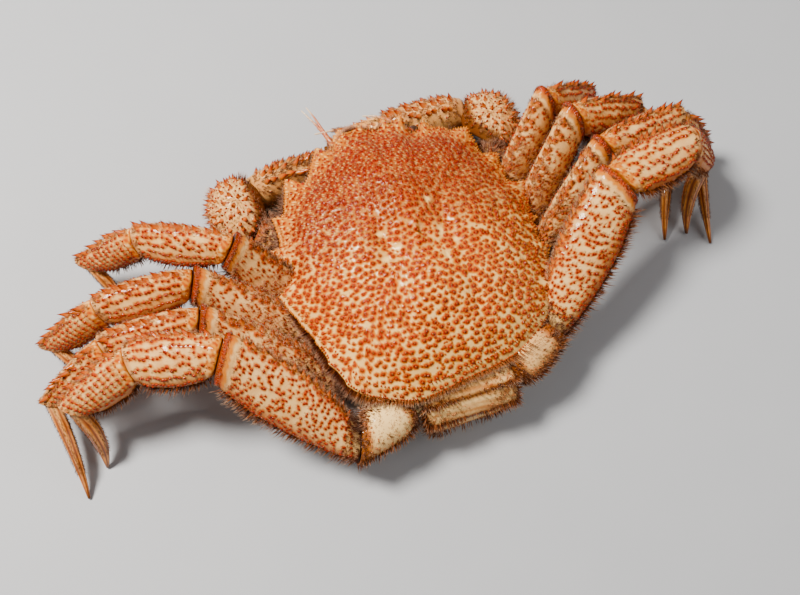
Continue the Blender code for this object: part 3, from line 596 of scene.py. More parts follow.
def back_tubercles():
    """Places and sizes of all tubercles on the back."""
    rows = []
    along = -62.0
    turn = 0
    while along < 49:
        front = step(-5, 30, along)
        gap = SPOT_GAP - 0.60 * front
        across = np.arange(-50, 50, gap * 1.06) + gap * 0.53 * (turn % 2)
        size = np.full(len(across), 0.92 - 0.24 * front)
        rows.append((across, np.full(len(across), along), size))
        if along < 22:
            small = across + gap * 0.53 + chance.normal(0, 0.5, len(across))
            lift = along + 0.1 * gap + chance.normal(0, 0.7, len(small))
            rows.append((small, lift, np.full(len(small), 0.42 - 0.06 * front)))
        along += gap * 0.92
        turn += 1
    across, along, size = [np.concatenate(part) for part in zip(*rows)]
    across = across + chance.normal(0, 0.38, len(across))
    curve = 0.0075 * across ** 2 * step(15, -50, along)
    along = along + curve + 0.5 * np.sin(across * 0.35 + along * 0.2)
    along = along + chance.normal(0, 0.36, len(along))
    size = size * chance.uniform(0.7, 1.22, len(size))
    keep = rim_share(across, along) < 0.985
    for x, y, half_x, half_y in SCARS:
        keep &= ((across - x) / half_x) ** 2 + ((along - y) / half_y) ** 2 > 1.1
    angle = chance.uniform(-2.1, 2.1, EDGE_SPOTS)
    share = chance.uniform(0.9, 0.985, EDGE_SPOTS)
    far = share * reach(angle)
    across = np.concatenate((across[keep], far * np.sin(angle)))
    along = np.concatenate((along[keep], far * np.cos(angle)))
    return across, along, np.concatenate((size[keep], chance.uniform(0.3, 0.46, EDGE_SPOTS)))


spot_x, spot_y, spot_size = back_tubercles()
print("tubercles on the back:", len(spot_x))


# %% [markdown]
# ### The skin of the back
# A round grid crowds its points in the middle. A square grid pressed into the outline keeps
# them evenly about 0.4 mm apart, which is what the small swellings need, and its border is the
# rim, from which rows of points go down and in under the edge.
# %% Skin of the back
BACK_GRID = 290
UNDER_RIM = (
    # share of the outline, height; from the rim down to the belly side
    (1.004, 26.2), (0.998, 25.0), (0.985, 24.2), (0.965, 22.8), (0.93, 20.6), (0.87, 17.5),
    (0.80, 14.6), (0.74, 12.2),
)


def square_to_disc(size):
    """Share of the way to the rim and direction for each point of a square grid."""
    line = np.linspace(-1, 1, size)
    across, along = np.meshgrid(line, line, indexing="ij")
    wide = np.abs(across) > np.abs(along)
    safe_across = np.where(wide, across, 1.0)
    safe_along = np.where(wide | (along == 0), 1.0, along)
    share = np.where(wide, across, along)
    angle = np.where(wide, pi / 4 * along / safe_across, pi / 2 - pi / 4 * across / safe_along)
    x = share * np.cos(angle)
    y = share * np.sin(angle)
    return np.hypot(x, y), np.arctan2(x, y)


def border(size):
    """Grid places of the border in order."""
    at = np.arange(size * size).reshape(size, size)
    return np.concatenate((at[:-1, 0], at[-1, :-1], at[:0:-1, -1], at[0, :0:-1]))


def back_marks(points, near):
    """Redder to the front, pale between the tubercles to the rear, and ivory on the scars."""
    across, along = points[:, 0], points[:, 1]
    share = rim_share(across, along)
    front = step(-14, 34, along + 0.12 * np.abs(across))
    middle = np.exp(-((across / 28) ** 2) - ((along - 12) / 24) ** 2)
    patchy = 0.5 + 0.5 * np.sin(across * 0.42 + 1.7 * np.sin(along * 0.23)) * np.sin(along * 0.37)
    edge = step(0.84, 0.97, share)
    halo = step(2.2, 1.1, near)
    warm = 0.02 + 0.74 * front + 0.40 * middle * (0.4 + 0.6 * patchy)
    warm = warm * (1 - 0.6 * edge) + (0.42 - 0.22 * front) * halo
    fleck = np.sin(3.1 * across + 2 * np.sin(1.7 * along)) * np.sin(3.4 * along + 1.1 * across)
    pale = (0.95 - 0.3 * patchy) * step(1.35, 1.8, near) * (1 - front) * (1 - 0.6 * middle)
    # The flecks at the front and edge are partly cream flecks of the shell and partly painted
    # glints of its wet surface.
    pale = pale + (0.5 * front + 0.25 * edge) * step(0.3, 0.75, fleck) * step(1.0, 1.3, near)
    pale = np.maximum(pale, 0.75 * step(0.955, 0.985, share) * step(-15, -35, along))
    scars = [(1.0, x, y, half_x * 0.9, half_y * 0.9) for x, y, half_x, half_y in SCARS]
    scar = np.clip(1.4 * hills(points[:, :2], scars), 0, 1)
    return {
        "warm": np.clip(warm, 0, 1) * (1 - 0.8 * scar),
        "gold": np.clip(0.5 * edge * step(-10, 30, along) + 0.8 * halo * (1 - front), 0, 0.85),
        "pale": np.maximum(pale, 0.9 * scar),
        "spot": step(1.16, 0.84, near),
        "tip": step(0.85 + 0.3 * front, 0.35 + 0.2 * front, near),
    }


# %% [markdown]
# ### Teeth of the rim
# Broad pointed teeth edge the front and the sides, with small ones between them. They aren't
# cones that stand on the rim but corners of the shell itself, so the border of the grid is
# pulled out to them, and the skin behind it stretches with it.
# %% Teeth
def tooth_pull(across, along):
    """How far the teeth pull each place of the back outwards."""
    angle = np.arctan2(across, along)
    far = reach(angle, RIM_TOOTHED) - reach(angle)
    pull = far * step(0.86, 1.0, rim_share(across, along)) ** 1.3
    return np.stack((pull * np.sin(angle), pull * np.cos(angle)), axis=-1)


def on_back(across, along):
    """Places on the finished back, teeth included."""
    points = back_points(across, along)
    pull = tooth_pull(across, along)
    climb = 0.10 * np.linalg.norm(pull, axis=-1, keepdims=True)
    return points + np.concatenate((pull, climb), axis=-1)


def blotchy(points):
    """The same places bent a little, so that round spots come out wide and uneven."""
    x, y = points[:, 0], points[:, 1]
    bend = np.stack((np.sin(2.3 * y + 1.1 * x), 0.9 * y + np.sin(2.7 * x - 0.8 * y)), axis=-1)
    return np.stack((x, 1.1 * y, points[:, 2]), axis=-1) + 0.12 * np.pad(bend, ((0, 0), (0, 1)))


def make_back():
    """The swollen skin of the back, and the rows that go in under its rim."""
    shell = Piece()
    share, angle = square_to_disc(BACK_GRID)
    far = share * reach(angle)
    across = (far * np.sin(angle)).ravel()
    along = (far * np.cos(angle)).ravel()
    flat = back_points(across, along)
    skin = on_back(across, along)
    ways = back_ways(across, along)
    spots = on_back(spot_x, spot_y)
    near = nearest(blotchy(skin), blotchy(spots), spot_size)
    skin = skin + ways * (0.4 * np.clip(1 - (near / 1.4) ** 2, 0, 1) ** 1.5)[:, None]
    faces = [grid_faces(BACK_GRID, BACK_GRID, False)[:, ::-1]]
    shell.add(skin, faces, **back_marks(flat, near))
    rim = border(BACK_GRID)
    edge = np.arctan2(across[rim], along[rim])
    rows = [skin[rim]]
    pull = np.concatenate((tooth_pull(across[rim], along[rim]), np.zeros((len(rim), 1))), axis=-1)
    for row, (part, height) in enumerate(UNDER_RIM):
        lift = (flat[rim, 2] - BELLY_TO_RIM) * part ** 8
        place = part * reach(edge)
        ring = np.stack((place * np.sin(edge), place * np.cos(edge), height + lift), axis=-1)
        rows.append(ring + pull * max(0.0, 0.94 - 0.3 * row))
    side = np.concatenate(rows)
    count = len(rim)
    middle = np.array([[0.0, 0.0, UNDER_RIM[-1][1]]])
    last = np.arange(count) + count * len(UNDER_RIM)
    faces = [grid_faces(len(rows), count)[:, ::-1], fan_faces(last, len(side), True)]
    # Under the rim the rows darken downwards: painted shade under the edge.
    down = np.repeat(np.arange(len(rows)) / len(UNDER_RIM), count)
    gold = np.append(0.8 * (1 - step(0.1, 0.4, down)), 0)
    shell.add(np.concatenate((side, middle)), faces, gold=gold, dark=np.append(0.35 * down, 0.35))
    return shell


back = make_back()

# %% [markdown]
# ### Granules and tubercles of the back
# Rows of granules follow the rear margin and edge the teeth. They are placed by the same
# function as the skin, so they ride on the teeth too.
# %% Cones on the back
MEAN_REACH = 50.0
FRONT_REACH = 48.0


def rim_angles(first, last, gap):
    """Directions from the middle, about a gap apart, each moved a little."""
    edge = np.arange(first, last, gap)
    return edge + chance.normal(0, 0.004, len(edge))


def rim_places(share, edge):
    """Places near the rim and the way out of the back there."""
    far = share * reach(edge)
    across, along = far * np.sin(edge), far * np.cos(edge)
    return on_back(across, along), back_ways(across, along)


def rear_granules():
    """Two rows of granules along the rear margin."""
    for share, gap, size in ((0.99, 0.95, 0.40), (0.935, 1.3, 0.36)):
        edge = rim_angles(radians(118), radians(242), gap / MEAN_REACH)
        places, ways = rim_places(share, edge)
        lays = np.stack((np.sin(edge), np.cos(edge), 0 * edge), axis=-1)
        cones(back, places, unit(ways + 0.5 * lays), lays, size * 1.7, size, TUBERCLE_FORM, 5,
              0.1, gold=0.5, spot=(0.45, 0.95))


def rim_granules():
    """Granules close together along the front and sides, between the teeth."""
    for share, gap, size in ((0.998, 0.7, 0.30), (0.97, 1.1, 0.34)):
        edge = rim_angles(radians(-122), radians(122), gap / FRONT_REACH)
        places, ways = rim_places(share, edge)
        along_rim = np.roll(places, -1, axis=0) - np.roll(places, 1, axis=0)
        lays = unit(np.cross(np.tile(UP, (len(edge), 1)), along_rim))
        lays = lays * np.sign(dot(lays, places * (1, 1, 0)))[:, None]
        cones(back, places, unit(ways * 0.7 + lays * (share - 0.88) * 10), lays, size * 2.3, size,
              TUBERCLE_FORM, 5, 0.1, gold=0.6, spot=(0.0, 0.45))


def forward_on(ways):
    """The way to the front that lies in the surface."""
    return unit(FORWARD - ways * dot(ways, FORWARD)[:, None])


def dress_back():
    """A low red cone on each tubercle, then the granules."""
    places = on_back(spot_x, spot_y)
    ways = back_ways(spot_x, spot_y)
    lays = forward_on(ways)
    redness = 0.80 + 0.2 * step(-10, 30, spot_y)
    cones(back, places + ways * 0.15, unit(ways + 0.3 * lays), lays, spot_size * 0.85,
          spot_size * 0.5, TUBERCLE_FORM, 5, 0.12, spot=redness)
    rear_granules()
    rim_granules()


dress_back()
back.build("back_shell", back_finish, "back_shell", "carapace")
print("back shell:", totals["back_shell"], "triangles")

# %% [markdown]
# ### Bristles of the back
# Short stiff bristles stand before each tubercle, and a brown fringe hangs round the rim. Their
# map is the outline seen flat, because the dome unrolls almost without stretch.
# %% Bristles on the back
MAP_SIZE = (112, 122)
LOOSE_TUFTS = 1900


def back_map(places):
    return places[:, :2] / MAP_SIZE + 0.5


def bristle_back():
    """A tuft before each tubercle, except near the rear rim, and loose tufts between them."""
    coat = Piece()
    grow = (rim_share(spot_x, spot_y) < 0.88) | (spot_y > 22)
    x, y, size = spot_x[grow], spot_y[grow], spot_size[grow]
    places = back_points(x, y + size * 1.05)
    ways = back_ways(places[:, 0], places[:, 1])
    tufts(coat, places, ways, forward_on(ways), 0.9 + 0.25 * step(0, 40, y), back_map(places), 4,
          0.32, 0.9, 0.055, 0.36 + 0.5 * step(20, -20, y))
    angle = chance.uniform(-1.5, 1.5, LOOSE_TUFTS)
    far = chance.uniform(0.2, 0.94, LOOSE_TUFTS) ** 0.7 * reach(angle)
    places = back_points(far * np.sin(angle), far * np.cos(angle))
    ways = back_ways(places[:, 0], places[:, 1])
    tufts(coat, places, ways, forward_on(ways), 1.0, back_map(places), 2, 0.3, 0.9, 0.05,
          chance.uniform(-0.2, 0.8, LOOSE_TUFTS))
    coat.build("bristles_back", bristle_look, "bristle")


RIM_ROWS = (
    # share of the outline, gap, length, height, how much the bristles fall
    (1.0, 0.5, 1.9, 25.8, -0.05), (0.99, 0.45, 2.4, 24.8, -0.12),
    (0.975, 0.45, 2.6, 23.6, -0.25), (0.94, 0.5, 3.0, 21.0, -0.3),
    (0.89, 0.6, 3.2, 18.0, -0.3), (0.83, 0.7, 3.2, 15.0, -0.3),
)


def bristle_rim():
    """Rows at the rim, under it and down the flank, longest at the corners and the rear sides."""
    coat = Piece()
    for share, gap, length, height, fall in RIM_ROWS:
        edge = rim_angles(0, 2 * pi, gap / MEAN_REACH)
        out = np.stack((np.sin(edge), np.cos(edge), 0 * edge + fall), axis=-1)
        far = share * reach(edge)
        lift = RIM_LIFT * np.sin(np.arctan2(out[:, 1], np.abs(out[:, 0]))) ** 4
        far = far + (reach(edge, RIM_TOOTHED) - reach(edge)) * step(0.85, 1.0, share) * 0.85
        places = np.stack((far * out[:, 0], far * out[:, 1], height + lift), axis=-1)
        flank = np.exp(-((places[:, 1] + 30) / 24) ** 2)
        flank = flank + 1.7 * np.exp(-((places[:, 1] - 26) / 12) ** 2) * step(1.0, 0.97, share)
        corner = np.exp(-((np.abs(places[:, 0]) - 28) / 9) ** 2 - ((places[:, 1] + 44) / 8) ** 2)
        flank = flank + 0.9 * corner
        # at the rear the fringe stands up and is lighter
        rear = step(-38, -48, places[:, 1])
        places[:, 2] += 2.0 * rear * step(0.96, 1.0, share)
        out[:, 2] += 0.5 * rear
        tufts(coat, places, unit(out), unit(out + (0, 0.35, -0.1)), length * (0.8 + flank),
              back_map(places), 3, 0.3, 0.4, 0.12 if share > 0.97 else 0.1,
              0.02 + 0.5 * rear, 0.12)
    coat.build("bristles_rim", bristle_look, "bristle")


bristle_back()
bristle_rim()
print("bristles of the back:", totals["bristles_back"] + totals["bristles_rim"], "triangles")

# %% [markdown]
# ## Leg segments
# Every leg segment is a flattened rod between two joints, thicker in its middle. Both ends are
# slanted to the plane halfway between it and its neighbour, as in the solids, so the segments
# meet face to face. The rod is again a function, here of the share along it and the turn round
# it from its upper edge, so spines and bristles can be placed by these two numbers.
# %% The rod
GAP = 0.3


class Rod:
    """A body along a path. t goes along it from 0 to 1, turn goes round it in radians."""

    def __init__(self, stops, wide_way, lie=None, near_plane=None, far_plane=None, ease=0.035):
        # stops: rows of t, x, y, z of the middle, half width, half depth
        self.stops = np.array(stops, float)
        self.wide_way = np.array(wide_way, float)
        self.lie = lie
        self.ease = ease
        self.planes = (near_plane, far_plane)
        ends = self.middle(np.array((0.0, 1.0)))
        self.length = float(np.linalg.norm(ends[1] - ends[0]))
        self.flip = False     # turn goes round the other way
        self.holds = ()       # planes that hold the rod flat
        self.hairy = False    # a thicker coat and fewer tubercles
        self.square = 1.0     # below 1 the cross-section is squarer

    def middle(self, t):
        return np.stack(eased(self.stops[:, :4], t, self.ease), axis=-1)

    def halves(self, t):
        table = np.column_stack((self.stops[:, 0], self.stops[:, 4:6]))
        return eased(table, t, self.ease)

    def axes(self, t):
        if self.lie is not None:
            lie = np.broadcast_to(self.lie, (*t.shape, 3))
        else:
            lie = unit(self.middle(np.minimum(t + 0.01, 1)) - self.middle(np.maximum(t - 0.01, 0)))
        deep = unit(np.cross(lie, self.wide_way))
        if self.flip:
            deep = -deep
        wide = np.cross(deep, lie) if not self.flip else np.cross(lie, deep)
        return lie, wide, deep

    def point(self, t, turn):
        t, turn = np.broadcast_arrays(np.asarray(t, float), np.asarray(turn, float))
        lie, wide, deep = self.axes(t)
        half_wide, half_deep = self.halves(t)
        cosine, sine = [np.sign(v) * np.abs(v) ** self.square for v in (np.cos(turn), np.sin(turn))]
        reach_out = wide * (cosine * half_wide)[..., None] + deep * (sine * half_deep)[..., None]
        shares = (1 - step(0.0, 0.42, t), step(0.58, 1.0, t))
        slide = np.zeros(t.shape)
        for plane, share in zip(self.planes, shares):
            if plane is not None:
                slide -= share * dot(reach_out, plane) / dot(lie, plane)
        place = self.middle(t) + reach_out + lie * slide[..., None]
        for origin, way in self.holds:
            place = place - way * np.maximum(dot(place - origin, way), 0)[..., None]
        return place

    def frame(self, t, turn):
        """Places on the rod, the way out of it and the way along it."""
        t, turn = np.broadcast_arrays(np.asarray(t, float), np.asarray(turn, float))
        place = self.point(t, turn)
        along = unit(self.point(t + 0.01, turn) - self.point(t - 0.01, turn))
        round_way = self.point(t, turn + 0.03) - self.point(t, turn - 0.03)
        out = unit(np.cross(round_way, along))
        out = out * np.sign(dot(out, place - self.middle(t)) + 1e-9)[..., None]
        return place, out, along


# %% Skin of a rod
# How an end closes: the size of each ring and how far along it lies, in millimetres
NEAR_PLUG = ((0.93, -0.35), (0.78, -0.9), (0.45, -1.3))
FAR_CUP = ((1.01, 0.25), (0.99, 0.5), (0.94, 0.4), (0.84, -0.6))
FAR_TIP = ((0.72, 0.16), (0.36, 0.28))
FAR_TIP_BACK = ((0.7, -0.2), (0.35, -0.3))
FAR_ROUND = ((0.6, 0.0), (0.3, 0.0))


def rod_skin(piece, rod, gap, spots, marks, far=FAR_CUP, near=NEAR_PLUG, swell=0.24, form=None):
    """The closed skin of a rod, its points about a gap apart, with its tubercles' swellings."""
    half_wide, half_deep = rod.halves(np.linspace(0, 1, 20))
    size = float(max(np.max(half_wide), np.max(half_deep)))
    rows = max(8, int(rod.length / gap))
    columns = max(12, int(2 * pi * 0.8 * size / gap))
    t, turn = np.meshgrid(np.linspace(0, 1, rows), np.arange(columns) * 2 * pi / columns,
                          indexing="ij")
    place, out, along = rod.frame(t, turn)
    flat, ways = place.reshape(-1, 3), out.reshape(-1, 3)
    close = nearest(flat, rod.point(spots[0], spots[1]), spots[2])
    lift = swell * np.clip(1 - (close / 1.6) ** 2, 0, 1) ** 1.5
    if form is not None:
        lift = lift + form(t, turn).ravel()
    skin = (flat + ways * lift[:, None]).reshape(rows, columns, 3)
    lie, wide, deep = rod.axes(np.array((0.0, 1.0)))
    turned = dot(np.cross(lie[0], wide[0]), deep[0]) < 0
    values = marks(t.ravel(), turn.ravel(), close)
    quads = grid_faces(rows, columns)
    piece.add(skin.reshape(-1, 3), [quads[:, ::-1] if turned else quads], **values)
    for end, closing in ((0, near), (-1, far)):
        rings = capped(skin[end], lie[end], closing)
        count = len(rings)
        flip = (end == 0) != turned
        quads = grid_faces(count, columns)
        last = np.arange(columns) + columns * (count - 1)
        faces = [quads[:, ::-1] if flip else quads, fan_faces(last, count * columns, flip)]
        points = np.concatenate((*rings, rings[-1].mean(0, keepdims=True)))
        edge = {}
        for mark, value in values.items():
            row = np.broadcast_to(value, (rows * columns,)).reshape(rows, columns)[end]
            edge[mark] = np.append(np.tile(row, count), row.mean())
        # Painted shade: the rings that close each end darken inward, where one segment sits in the
        # next.
        if far is FAR_CUP or end == 0:
            depth = np.append(np.repeat(np.linspace(0, 1, count), columns), 1.0)
            edge["dark"] = np.maximum(edge.get("dark", 0), 0.85 * step(0.2, 0.8, depth))
        piece.add(points, faces, **edge)


def capped(ring, lie, form):
    """Rings that close an end, each smaller and moved along by some millimetres."""
    middle = ring.mean(0)
    return [ring] + [middle + (ring - middle) * size + lie * shift for size, shift in form]


# %% [markdown]
# ### Rows, patches and fringes
# The same three patterns dress every segment: a row of spines along an edge, a patch of small
# tubercles in crosswise rows on a face, and a fringe of bristles along an edge. They all need to
# know the rod, the piece and the coat, so a class keeps these together. Its numbers come in one
# order: where along the rod, how many degrees round it, how close, how long and how light.
# %% Places on a rod
def row_places(first, last, count, degrees, spread=4):
    """A row along a rod at some degrees round it."""
    share = (np.arange(count) + 0.5) / count
    t = first + (last - first) * share + chance.normal(0, 0.12 / count, count)
    return t, np.radians(degrees + chance.normal(0, spread, count))


def patch_places(rod, first, last, from_degrees, to_degrees, row_gap, gap):
    """Crosswise wavy rows over a face of a rod."""
    rows = max(1, int((last - first) * rod.length / row_gap))
    all_t, all_turn = [], []
    for row in range(rows):
        t = first + (last - first) * (row + 0.5) / rows
        arc = radians(to_degrees - from_degrees) * 0.5 * float(sum(rod.halves(np.array([t])))[0])
        count = max(1, int(abs(arc) / gap))
        share = (np.arange(count) + 0.5 * (row % 2) + 0.25) / count
        wave = 0.25 * row_gap / rod.length * np.sin(share * 7 + row)
        all_t.append(t + wave + chance.normal(0, 0.24 * row_gap / rod.length, count))
        turn = from_degrees + (to_degrees - from_degrees) * share
        all_turn.append(np.radians(turn) + chance.normal(0, 0.2 * gap / 6, count))
    return np.concatenate(all_t), np.concatenate(all_turn)


def join_places(*groups):
    """Groups of places with one size each, as arrays of t, turn and size."""
    t = np.concatenate([group[0][0] for group in groups])
    turn = np.concatenate([group[0][1] for group in groups])
    size = np.concatenate([np.full(len(group[0][0]), group[1]) for group in groups])
    return t, turn, size * chance.uniform(0.8, 1.15, len(size))


def all_places(*groups):
    return tuple(np.concatenate(parts) for parts in zip(*groups))


def row(size, *numbers):
    """A row of tubercles of one size."""
    return join_places((row_places(*numbers), size))


NO_SPOTS = (np.zeros(0), np.zeros(0), np.zeros(0))


# %% The dress of a rod
class Dress:
    """A rod that is being dressed: a piece for its skin, and its cell in the coat's bake map."""

    def __init__(self, rod, coat=None, cell=(0, 1), piece=None):
        self.rod = rod
        self.coat = coat
        self.cell = cell
        self.piece = piece or Piece()

    def patch(self, size, *numbers):
        """A patch of tubercles of one size."""
        return join_places((patch_places(self.rod, *numbers), size))

    def skin(self, gap, spots, marks, *ends, **forms):
        rod_skin(self.piece, self.rod, gap, spots, marks, *ends, **forms)

    def spines(self, spots, length, width, lean=0.55, sides=6, **marks):
        place, out, along = self.rod.frame(*spots[:2])
        size = chance.uniform(0.8, 1.15, len(place))
        ways = unit(out + along * lean)
        cones(self.piece, place, ways, along, length * size, width * (0.5 + 0.5 * size),
              SPINE_FORM, sides, 0.12, **marks)

    def tubercles(self, spots, height=0.9, **marks):
        t, turn, size = spots
        place, out, along = self.rod.frame(t, turn)
        cones(self.piece, place + out * 0.1, unit(out + 0.4 * along), along, size * height,
              size * 0.8, TUBERCLE_FORM, 5, 0.15, **marks)

    def bristles(self, t, turn, length, tone, each=4, lean=0.8, thick=0.055):
        place, out, along = self.rod.frame(t, turn)
        index, cells = self.cell
        across = (index + np.clip(t, 0.02, 0.98)) / cells
        maps = np.stack((across, (turn / (2 * pi)) % 1.0), axis=-1)
        tufts(self.coat, place, out, along, length, maps, each, 0.3, lean, thick, tone)

    def bristles_before(self, spots, shift, *numbers):
        """Tufts that stand a little further along than some tubercles."""
        self.bristles(spots[0] + shift / self.rod.length, spots[1], *numbers)

    def fringe(self, first, last, degrees, spread, gap, length, tone, each=5, lean=0.7,
               thick=0.085):
        """A fringe of tufts along the rod."""
        count = max(2, int((last - first) * self.rod.length / gap))
        t = first + (last - first) * (np.arange(count) + chance.uniform(0, 1, count)) / count
        turn = np.radians(degrees + chance.normal(0, spread, count))
        length = length * chance.uniform(0.75, 1.15, count)
        self.bristles(t, turn, length, tone, each, lean, thick)

    def comb(self, first, last, degrees, length):
        """Three ranks of stout separate bristles with pale tips, as on a leg's lower edge."""
        for shift, size in ((-11, 0.9), (0, 1.0), (11, 0.8)):
            self.fringe(first, last, degrees + shift, 4, 0.62, length * size, 0.3, 1, 0.25, 0.18)


# %% [markdown]
# ### Where the legs go
# The joints come from the same named values as in the solids: the root of each leg, the length
# of its five segments, and how each turns to the front and climbs. The last tip comes down to
# the floor.
# %% Leg pose
SEGMENTS = ("coxa", "merus", "carpus", "propodus", "dactyl")
LEG_ROOT = {2: (25, 1, 7), 3: (26, -12, 7), 4: (26, -26, 8), 5: (19.5, -52, 21)}
LEG_LENGTHS = {
    2: (13.5, 49, 32, 27, 28), 3: (13.5, 56.5, 31.5, 28, 30),
    4: (14, 59, 32.5, 29.5, 37), 5: (22.2, 58, 30.5, 27.5, 30),
}
LEG_GIRTH = {2: 0.96, 3: 1.0, 4: 1.0, 5: 1.1}
LEG_LEAN = {
    "left": {2: 28, 3: 26, 4: 24, 5: 56},
    "right": {2: 28, 3: 28, 4: 32, 5: 76},
}
TIP_HEIGHT = 0.5
LEG_POSE = {
    ("left", 2): ((-34, -3), (41, 44), (27, -9), (11, -41), -109),
    ("left", 3): ((-31, 5), (36, 26), (2, -3), (-4, -41), -115),
    ("left", 4): ((-39, 3), (36, 25), (4, -8), (-20, -28), -92),
    ("left", 5): ((-18, -1), (47, 24), (17, -14), (-12, -28), -97),
    ("right", 2): ((27, 7), (46, 32), (10, -42), (-66, -15), -115),
    ("right", 3): ((20, 6), (45, 33), (2, -28), (-56, -35), -112),
    ("right", 4): ((23, 7), (39, 30), (7, -11), (-21, -54), -102),
    ("right", 5): ((27, 3), (46, 23), (11, -2), (-4, -58), -115),
}
LEG_PROFILES = {
    # share along the segment, half breadth, half thickness
    "coxa": ((0, 4.4, 4.0), (0.3, 5.6, 4.6), (0.56, 5.5, 4.5), (1, 5.2, 4.1)),
    "merus": (
        (0, 4.9, 4.0), (0.12, 6.6, 4.5), (0.35, 9.2, 4.9), (0.62, 10.0, 5.0), (0.85, 9.0, 4.8),
        (0.93, 8.6, 5.0), (1, 7.4, 4.4),
    ),
    "carpus": ((0, 5.6, 4.2), (0.2, 7.7, 5.3), (0.55, 8.6, 5.8), (0.86, 7.8, 5.2), (1, 6.4, 4.4)),
    "propodus": ((0, 5.6, 4.3), (0.25, 7.2, 4.9), (0.75, 6.2, 4.4), (1, 4.4, 3.4)),
    "dactyl": ((0, 3.2, 2.6), (0.25, 3.2, 2.4), (0.6, 2.3, 1.7), (0.88, 1.1, 0.9), (1, 0.5, 0.5)),
}
REAR_COXA_PROFILE = ((0, 6.0, 6.0), (0.3, 8.6, 7.8), (0.62, 8.2, 7.4), (1, 6.4, 5.2))
DACTYL_BOW = 2.6


def heading(side, turn, climb):
    turn, climb = radians(turn), radians(climb)
    return np.array((SIDES[side] * cos(turn) * cos(climb), sin(turn) * cos(climb), sin(climb)))


def leg_joints(side, number):
    joints = [np.array(LEG_ROOT[number], float) * (SIDES[side], 1, 1)]
    lengths, pose = LEG_LENGTHS[number], LEG_POSE[side, number]
    for length, (turn, climb) in zip(lengths[:-1], pose[:-1]):
        joints.append(joints[-1] + heading(side, turn, climb) * length)
    climb = -asin((joints[-1][2] - TIP_HEIGHT) / lengths[-1]) * 180 / pi
    joints.append(joints[-1] + heading(side, pose[-1], climb) * lengths[-1])
    return joints


def upper_edge(lie, lean):
    """The way a segment's upper edge points: up, leaned to the front by some degrees."""
    up = unit(UP - lie * lie[2])
    front = np.cross(lie, up)
    if front[1] < 0:
        front = -front
    return up * cos(radians(lean)) + front * sin(radians(lean))


def straight_rod(start, end, profile, lean, near_plane, far_plane, bow=0.0):
    """A rod between two joints with the profile of its segment."""
    lie = unit(end - start)
    edge = upper_edge(lie, lean)
    start = start + lie * GAP / 2
    end = end - lie * GAP / 2
    stops = []
    for share in np.linspace(0, 1, 25):
        breadth, depth = eased(profile, share, 0.0)
        middle = start + (end - start) * share + edge * bow * sin(pi * share)
        stops.append((share, *middle, float(breadth), float(depth)))
    rod = Rod(stops, edge, lie, near_plane, far_plane)
    rod.flip = np.cross(lie, edge)[2] < 0
    return rod


def joint_way(before, joint, after):
    return unit(unit(joint - before) + unit(after - joint))


def leg_rods(side, number):
    joints = leg_joints(side, number)
    planes = [None] + [joint_way(*joints[k - 1:k + 2]) for k in range(1, 5)] + [None]
    rods = {}
    for index, segment in enumerate(SEGMENTS):
        girth = 1.0 if segment == "coxa" else LEG_GIRTH[number]
        rear = segment == "coxa" and number == 5
        profile = REAR_COXA_PROFILE if rear else LEG_PROFILES[segment]
        profile = [(share, wide * girth, deep * girth) for share, wide, deep in profile]
        rods[segment] = straight_rod(
            joints[index], joints[index + 1], profile, LEG_LEAN[side][number],
            planes[index], planes[index + 1], DACTYL_BOW if segment == "dactyl" else 0.0,
        )
    rods["merus"].hairy = number < 5
    return rods


print("reach of the second right leg:", np.round(leg_joints("right", 2)[-1], 1))

# %% [markdown]
# ### Dressing a walking leg
# The long second segment carries a row of orange spines on its upper edge and small red
# tubercles in crosswise rows on its faces. It ends in a red serrated band and a smooth pale
# collar. The third has lengthwise ridges, the fourth short crosswise ones, and the last is a
# horny amber spike with grooves.
# %% Marks along the segments
SKIN_GAP = 0.62


def blotches(t, turn, length):
    """Broad soft patches on a segment, from 0 to 1."""
    wave = np.sin(t * 0.55 * length + 2 * np.sin(turn * 2)) * np.sin(turn * 3 + t * 0.3 * length)
    return 0.5 + 0.5 * wave


def long_marks(t, turn, near):
    """Cream with red spots and a warm lower side, then an uneven collar, pale at first and golden
    after, and a red edge."""
    wave = t + 0.006 * np.sin(turn * 3 + 1) + 0.006 * np.sin(turn * 17 + 2 * np.sin(turn * 5))
    collar = step(0.895, 0.908, wave) * step(0.965, 0.94, wave)
    edge = step(0.94, 0.966, wave)
    upper, patchy = np.cos(turn) ** 2, blotches(t, turn, 57)
    lower = step(-0.2, -0.95, np.cos(turn))
    halo = step(1.9, 1.1, near)
    return {
        "spot": np.maximum(0.92 * step(1.3, 0.8, near) * (1 - collar), 0.78 * edge),
        "warm": (0.05 + 0.22 * upper + 0.3 * patchy * halo + 0.45 * lower) * (1 - collar)
        + 0.5 * collar * step(0.92, 0.945, wave) + 0.3 * step(0.86, 0.9, t) + 0.25 * halo,
        "pale": 0.75 * (1 - halo) * (1 - 0.6 * patchy) * (1 - edge) * (1 - lower) * (1 - collar)
        + 0.8 * collar * step(0.935, 0.915, wave) * (0.5 + 0.5 * patchy),
        "gold": 0.9 * np.maximum(collar, edge) * step(0.915, 0.94, wave)
        + 0.5 * halo * (1 - collar),
        # Painted shade at the near end, where the segment meets the one before; on the lower side
        # it also darkens round the tubercles.
        "dark": 0.6 * step(0.09, 0.0, t) + 0.3 * lower * halo,
        "tip": np.maximum(step(0.9, 0.4, near) * (1 - edge), 0.8 * step(0.98, 1.0, wave)),
    }


